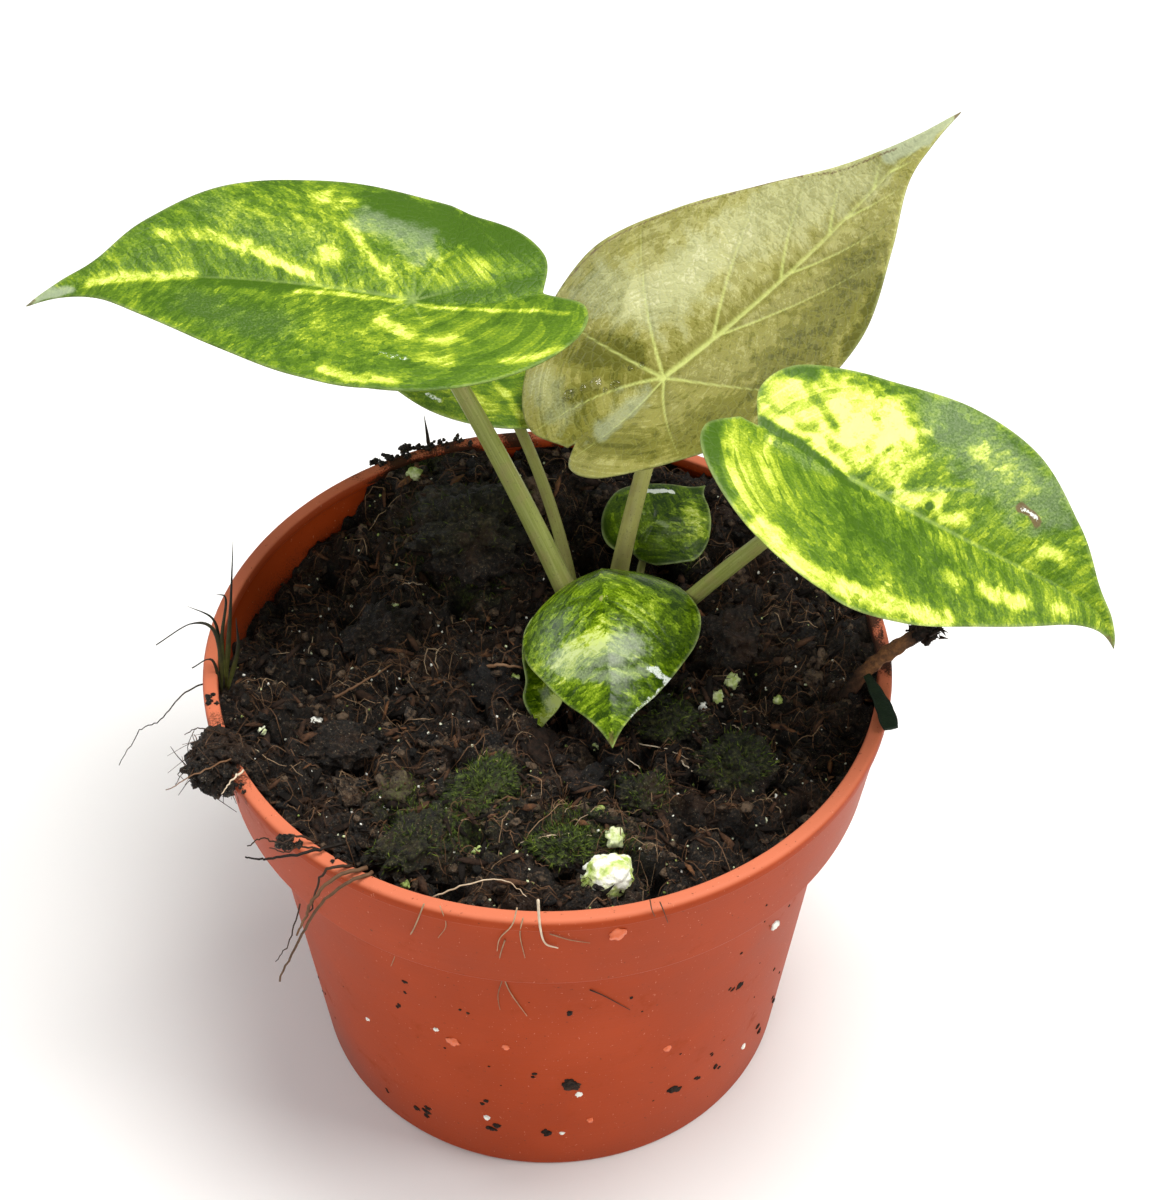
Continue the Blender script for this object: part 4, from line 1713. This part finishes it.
def build_lump(node, material, slot):
    """A rough lump in place of a plain solid."""
    centre, size, turn, detail, rough, wave, tint = LUMPS[node]
    places, faces = rough_lump(detail, centre, size, turn, rough, wave)
    item = mesh_object(f"{node}_fine", places, faces, material, tint=np.full(len(places), tint),
                       deep=np.clip((centre[2] - places[:, 2]) / size[2], 0, 1))
    return hand_in(item, slot, node)


def build_clods(material):
    """The large mossy clods. Returns feet and directions for the moss that grows on them."""
    draw = random.Random(44)
    places, faces, moss, feet = [], [], [], []
    count = 0
    for (x, y), size, turn, amount in MOSSY_CLODS:
        centre = (x, y, soil_height(x, y) + CLOD_LIFT * size[2])
        clod, clod_faces = rough_lump(5, centre, size, turn, 0.34, 1.7)
        places.append(clod)
        faces += [tuple(count + corner for corner in face) for face in clod_faces]
        moss.append(amount * np.clip((clod[:, 2] - centre[2]) / (0.3 * size[2]), 0, 1))
        upper = clod[clod[:, 2] > centre[2] + 0.15 * size[2]]
        for _ in range(int(CLOD_MOSS * amount)):
            foot = upper[draw.randrange(len(upper))]
            feet.append((foot, foot - centre))
        count += len(clod)
    hand_in(mesh_object("soil_clods", np.vstack(places), faces, material, moss=np.concatenate(moss)), "soil")
    return feet


def build_stick(material):
    """The broken bark stick over the right rim: grooved along its length and splintered at its outer end."""
    draw = random.Random(17)
    path = through_points(STICK_POINTS, 14)
    sides = 20
    angles = np.arange(sides) * 2 * pi / sides
    section = 1 + 0.10 * np.cos(3 * angles + 1) + 0.09 * np.cos(8 * angles)
    wander = np.array([noise.noise(Vector((number * 0.35, 4.0, 1.0))) for number in range(len(path))])
    ends = np.clip(np.minimum(np.arange(len(path)) + 2, len(path) - np.arange(len(path)) + 4) / 7, 0, 1)
    batch = Batch()
    places, faces = tube(path, 0.5 * STICK_WIDTH * (1 + 0.35 * wander) * ends, sides, section)
    middle = np.interp(places[:, 0], (51, 55, 61, 65), (0.35, 0.80, 0.80, 0.35))
    batch.add(places, faces, middle)
    end = path[-1]
    for _ in range(STICK_SPIKES):
        foot = end + scatter(draw, (0, 1.3), (0, 1.3), (0, 0.9))
        aim = scatter(draw, (0.6, 0.8), (0.1, 0.9), (-0.3, 0.8))
        tip = foot + draw.uniform(1.2, 3.6) * aim / np.linalg.norm(aim)
        batch.add(*spike(foot, tip, draw.uniform(0.4, 1.1)), draw.uniform(0.1, 0.45))
    form, faces = sphere(2)
    for _ in range(9):
        spot = end + scatter(draw, (-0.5, 1.6), (0, 1.2), (-0.4, 0.9))
        batch.add(lump(form, (2.6, 1.9, 1.7), 0.5, draw, 2.4) + spot, faces, draw.uniform(0.1, 0.4))
    return hand_in(batch.object("rim_stick_fine", material), "bark", "rim_stick")


def ribbon(path, widths, thickness, side, cup=0.0):
    """Places and faces of a thin leaf-like strip. side is its width's direction, and cup bows it across."""
    path = np.asarray(path, float)
    across = RIBBON_COLUMNS
    shares = np.linspace(-1, 1, across)
    ahead = np.gradient(path, axis=0)
    ahead /= np.linalg.norm(ahead, axis=1, keepdims=True)
    rows = []
    for layer in (0.5, -0.5):
        for point, direction, width in zip(path, ahead, np.broadcast_to(widths, len(path))):
            out = unit(np.asarray(side, float) - direction * (direction @ np.asarray(side, float)))
            up = np.cross(direction, out)
            rows.append([point + 0.5 * width * share * out
                         + up * (thickness * layer * (1 - 0.6 * share ** 2) + cup * width * share ** 2)
                         for share in shares])
    count = len(path)
    faces = []
    for row in range(count - 1):
        for column in range(across - 1):
            a = row * across + column
            b = a + count * across
            faces.append((a, a + 1, a + across + 1, a + across))
            faces.append((b, b + across, b + across + 1, b + 1))
    edge = [row * across for row in range(count)]
    edge += [(count - 1) * across + column for column in range(1, across)]
    edge += [row * across + across - 1 for row in range(count - 2, -1, -1)]
    edge += [column for column in range(across - 2, 0, -1)]
    for first, second in zip(edge, edge[1:] + edge[:1]):
        faces.append((first, second, second + count * across, first + count * across))
    return np.array(rows).reshape(-1, 3), faces


def build_strip(material, photo):
    """The scrap of dead leaf that hangs over the right rim."""
    path = through_points([photo.at_height(pixel, STRIP_LEVEL) for pixel in STRIP_PIXELS], 8)
    share = np.linspace(0, 1, len(path))
    widths = np.interp(share, (0, 0.35, 0.8, 1), STRIP_WIDTHS)
    widths = widths * (1 + 0.05 * np.sin(share * 23))
    places, faces = ribbon(path, widths, STRIP_THICKNESS, (0.9, 0.3, 0.1), 0.02)
    item = mesh_object("leaf_strip_fine", places, faces, material, tint=np.full(len(places), 0.5))
    outward(item)
    return hand_in(item, "leaf_scrap", "leaf_strip")


def build_sprouts(material, photo):
    """Dark grass blades and withered leaves that stand at the rim."""
    batch = Batch()
    for pixels, width, depth, tint in SPROUTS:
        path = through_points([photo.on_plane(pixel, depth) for pixel in pixels], SPROUT_STEPS)
        share = np.linspace(0, 1, len(path))
        widths = width * np.clip(np.minimum(0.5 + 2 * share, 1.25 * (1 - share) + 0.06), 0, 1)
        batch.add(*ribbon(path, widths, SPROUT_THICKNESS, (1.0, 0.5, 0.1), 0.15),
                  np.tile(np.repeat(tint * (1 - share) ** 1.5, RIBBON_COLUMNS), 2))
    item = batch.object("rim_sprouts", material)
    outward(item)
    return hand_in(item, "leaf_scrap")


def build_strands(material, photo):
    """The single roots and straws that the photograph shows, in the soil, over the rim and down the pot."""
    draw = random.Random(23)
    batch = Batch()
    for pixels, heights, radius, tint in STRANDS:
        points = [photo.at_height(pixel, height) for pixel, height in zip(pixels, heights)]
        path = through_points(points, 7)
        path = path + np.array([[draw.gauss(0, STRAND_WOBBLE) for _ in range(3)] for _ in path])
        batch.add(*tube(path, radius * np.linspace(1.0, 0.45, len(path)), 6), tint)
    for pixels, radius, tint in WALL_ROOTS:
        path = through_points([photo.on_wall(pixel, radius + 0.1) for pixel in pixels], 7)
        batch.add(*tube(path, radius * np.linspace(1.0, 0.45, len(path)), 6), tint)
    centre, size = (np.array(part) for part in LUMPS["rim_clump"][:2])
    for _ in range(CLUMP_FIBRES):
        aim = unit(scatter(draw, (-0.15, 1), (0, 1), (0.35, 0.8)))
        foot = centre + 0.45 * size * aim
        around = np.cross(aim, (draw.gauss(0, 1), draw.gauss(0, 1), draw.gauss(0, 1)))
        bend = foot + draw.uniform(0.4, 1.4) * aim + draw.uniform(0.5, 2.0) * around
        tip = bend + draw.uniform(0.5,
                                  3.0) * (around + np.array([draw.gauss(0, 0.7), draw.gauss(0, 0.7), -0.4]))
        path = through_points([foot, bend, tip], 4)
        batch.add(*tube(path, draw.uniform(0.06, 0.15) * np.linspace(1.0, 0.4, len(path)), 4),
                  draw.uniform(0.05, 0.6))
    return hand_in(batch.object("strands", material), "bark")


def build_clump_crumbs(material, photo):
    """Crumbs that stick to the clump at the rim, and to the strands beside it."""
    draw = random.Random(29)
    form, faces = sphere(2)
    batch = Batch()
    centre, size = (np.array(part) for part in LUMPS["rim_clump"][:2])
    for _ in range(CLUMP_CRUMBS):
        aim = unit(scatter(draw, (0, 1), (0, 1), (0.2, 1)))
        spot = centre + 0.5 * size * aim * draw.uniform(0.85, 1.15)
        shape = draw.uniform(0.5, 2.0) * np.array([draw.uniform(0.7, 1.3), 1.0, 0.8])
        batch.add(lump(form, shape, 0.5, draw, 2.4) + spot, faces)
    for pixel, extent in RIM_CRUMBS:
        for _ in range(7):
            shift = (pixel[0] + draw.gauss(0, 4), pixel[1] + draw.gauss(0, 3))
            spot = photo.at_height(shift, POT_HEIGHT)
            batch.add(lump(form, extent * draw.uniform(0.3, 0.8) * np.ones(3), 0.5, draw, 2.4) + spot, faces)
    return hand_in(batch.object("clump_crumbs", material), "soil")


def on_pot(form, size, place, draw, flat=0.45):
    """A small flattened lump on the pot's outside at a place."""
    out = np.array((place[0], place[1], 0.0)) / math.hypot(place[0], place[1])
    places = lump(form, (size, size, size), 0.35, draw, 1.8)
    return places - (1 - flat) * np.outer(places @ out, out) + place


def build_pot_marks(paints, photo):
    """Specks of soil, drops and bits of perlite on the pot's outside."""
    draw = random.Random(12)
    coarse, fine = sphere(1), sphere(3)
    specks, drops, white = Batch(), Batch(), Batch()
    for pixel, size in POT_SPECKS:
        for _ in range(3):
            shift = (pixel[0] + draw.gauss(0, 1.1 * size), pixel[1] + draw.gauss(0, 0.9 * size))
            place = photo.on_wall(shift)
            if place[2] > 0.7 * size:
                specks.add(on_pot(fine[0], size * draw.uniform(0.50, 0.80), place, draw, 0.3), fine[1],
                           draw.uniform(0.15, 0.45))
    for _ in range(POT_SPECK_COUNT):
        height = draw.uniform(4, STEP_TOP + 8)
        angle = draw.uniform(0, 2 * pi)
        radius = outer_radius(height)
        place = np.array((radius * cos(angle), radius * sin(angle), height))
        specks.add(on_pot(coarse[0], draw.uniform(*POT_SPECK_RANGE), place, draw), coarse[1],
                   draw.uniform(0.2, 0.6))
    for pixel, size in POT_DROPS:
        drops.add(on_pot(fine[0], size, photo.on_wall(pixel), draw, 0.3), fine[1])
    for pixel, size in WHITE_DROPS:
        white.add(on_pot(fine[0], size, photo.on_wall(pixel), draw, 0.6), fine[1], 0.8)
    hand_in(specks.object("pot_specks", paints["bark"]), "soil")
    hand_in(drops.object("pot_drops", paints["drop"]), "pot_plastic")
    hand_in(white.object("pot_grains", paints["perlite"]), "perlite")


def build_leaf_drops(material, top, normal, pixels):
    """Water drops that lie on a blade."""
    draw = random.Random(3)
    form, faces = sphere(4)
    batch = Batch()
    for pixel, size in LEAF_DROPS:
        nearest = np.hypot(*(pixels - pixel).T).argmin()
        up = normal[nearest]
        places = lump(form, (1.25 * size, size, size), 0.12, draw, 1.0, 0.0)
        places = places - 0.45 * np.outer(places @ up, up) + top[nearest] + 0.1 * size * up
        batch.add(places, faces)
    return hand_in(batch.object("leaf_drops", material), "leaf_bronze")


def build_floor():
    paint = Paint("floor")
    place = paint.place()
    shade = paint.noise(place, 0.002, 2.0)
    colour = paint.mix(paint.math("MULTIPLY", shade, 0.06), FLOOR_COLOUR, (0.78, 0.78, 0.77))
    paint.set(Base_Color=colour, Roughness=0.9)
    half = 0.5 * FLOOR_SIZE
    mesh = bpy.data.meshes.new("floor")
    mesh.from_pydata([(-half, -half, 0), (half, -half, 0), (half, half, 0), (-half, half, 0)], [],
                     [(0, 1, 2, 3)])
    mesh.materials.append(paint.material)
    floor = link("floor", mesh)


def build_leaves(paints, photo):
    for key, leaf in LEAVES.items():
        surface = build_blade(key, leaf, paints, photo)
        build_petiole(key, leaf, paints["petiole"])
        if key == "back":
            build_leaf_drops(paints["water"], *surface)


def main():
    photo = Photo()
    set_camera()
    set_light()
    build_floor()
    paints = make_paints()
    build_pot(paints["pot"])
    mossy = [(photo.on_soil(pixel), spread) for pixel, spread in MOSS_SPOTS]
    build_soil(paints["soil"], mossy)
    build_crumbs(paints["crumbs"], mossy)
    mossy_feet = build_clods(paints["soil"])
    build_flakes(paints["bark"])
    build_fibres(paints["fibre"])
    build_moss(paints["moss"], mossy, mossy_feet)
    build_stones(paints["perlite"], photo)
    for node, (paint, slot) in LUMP_FINISHES.items():
        build_lump(node, paints[paint], slot)
    build_stick(paints["bark"])
    build_strip(paints["strip"], photo)
    build_sprouts(paints["sprout"], photo)
    build_strands(paints["fibre"], photo)
    build_clump_crumbs(paints["crumbs"], photo)
    build_pot_marks(paints, photo)
    build_leaves(paints, photo)


main()
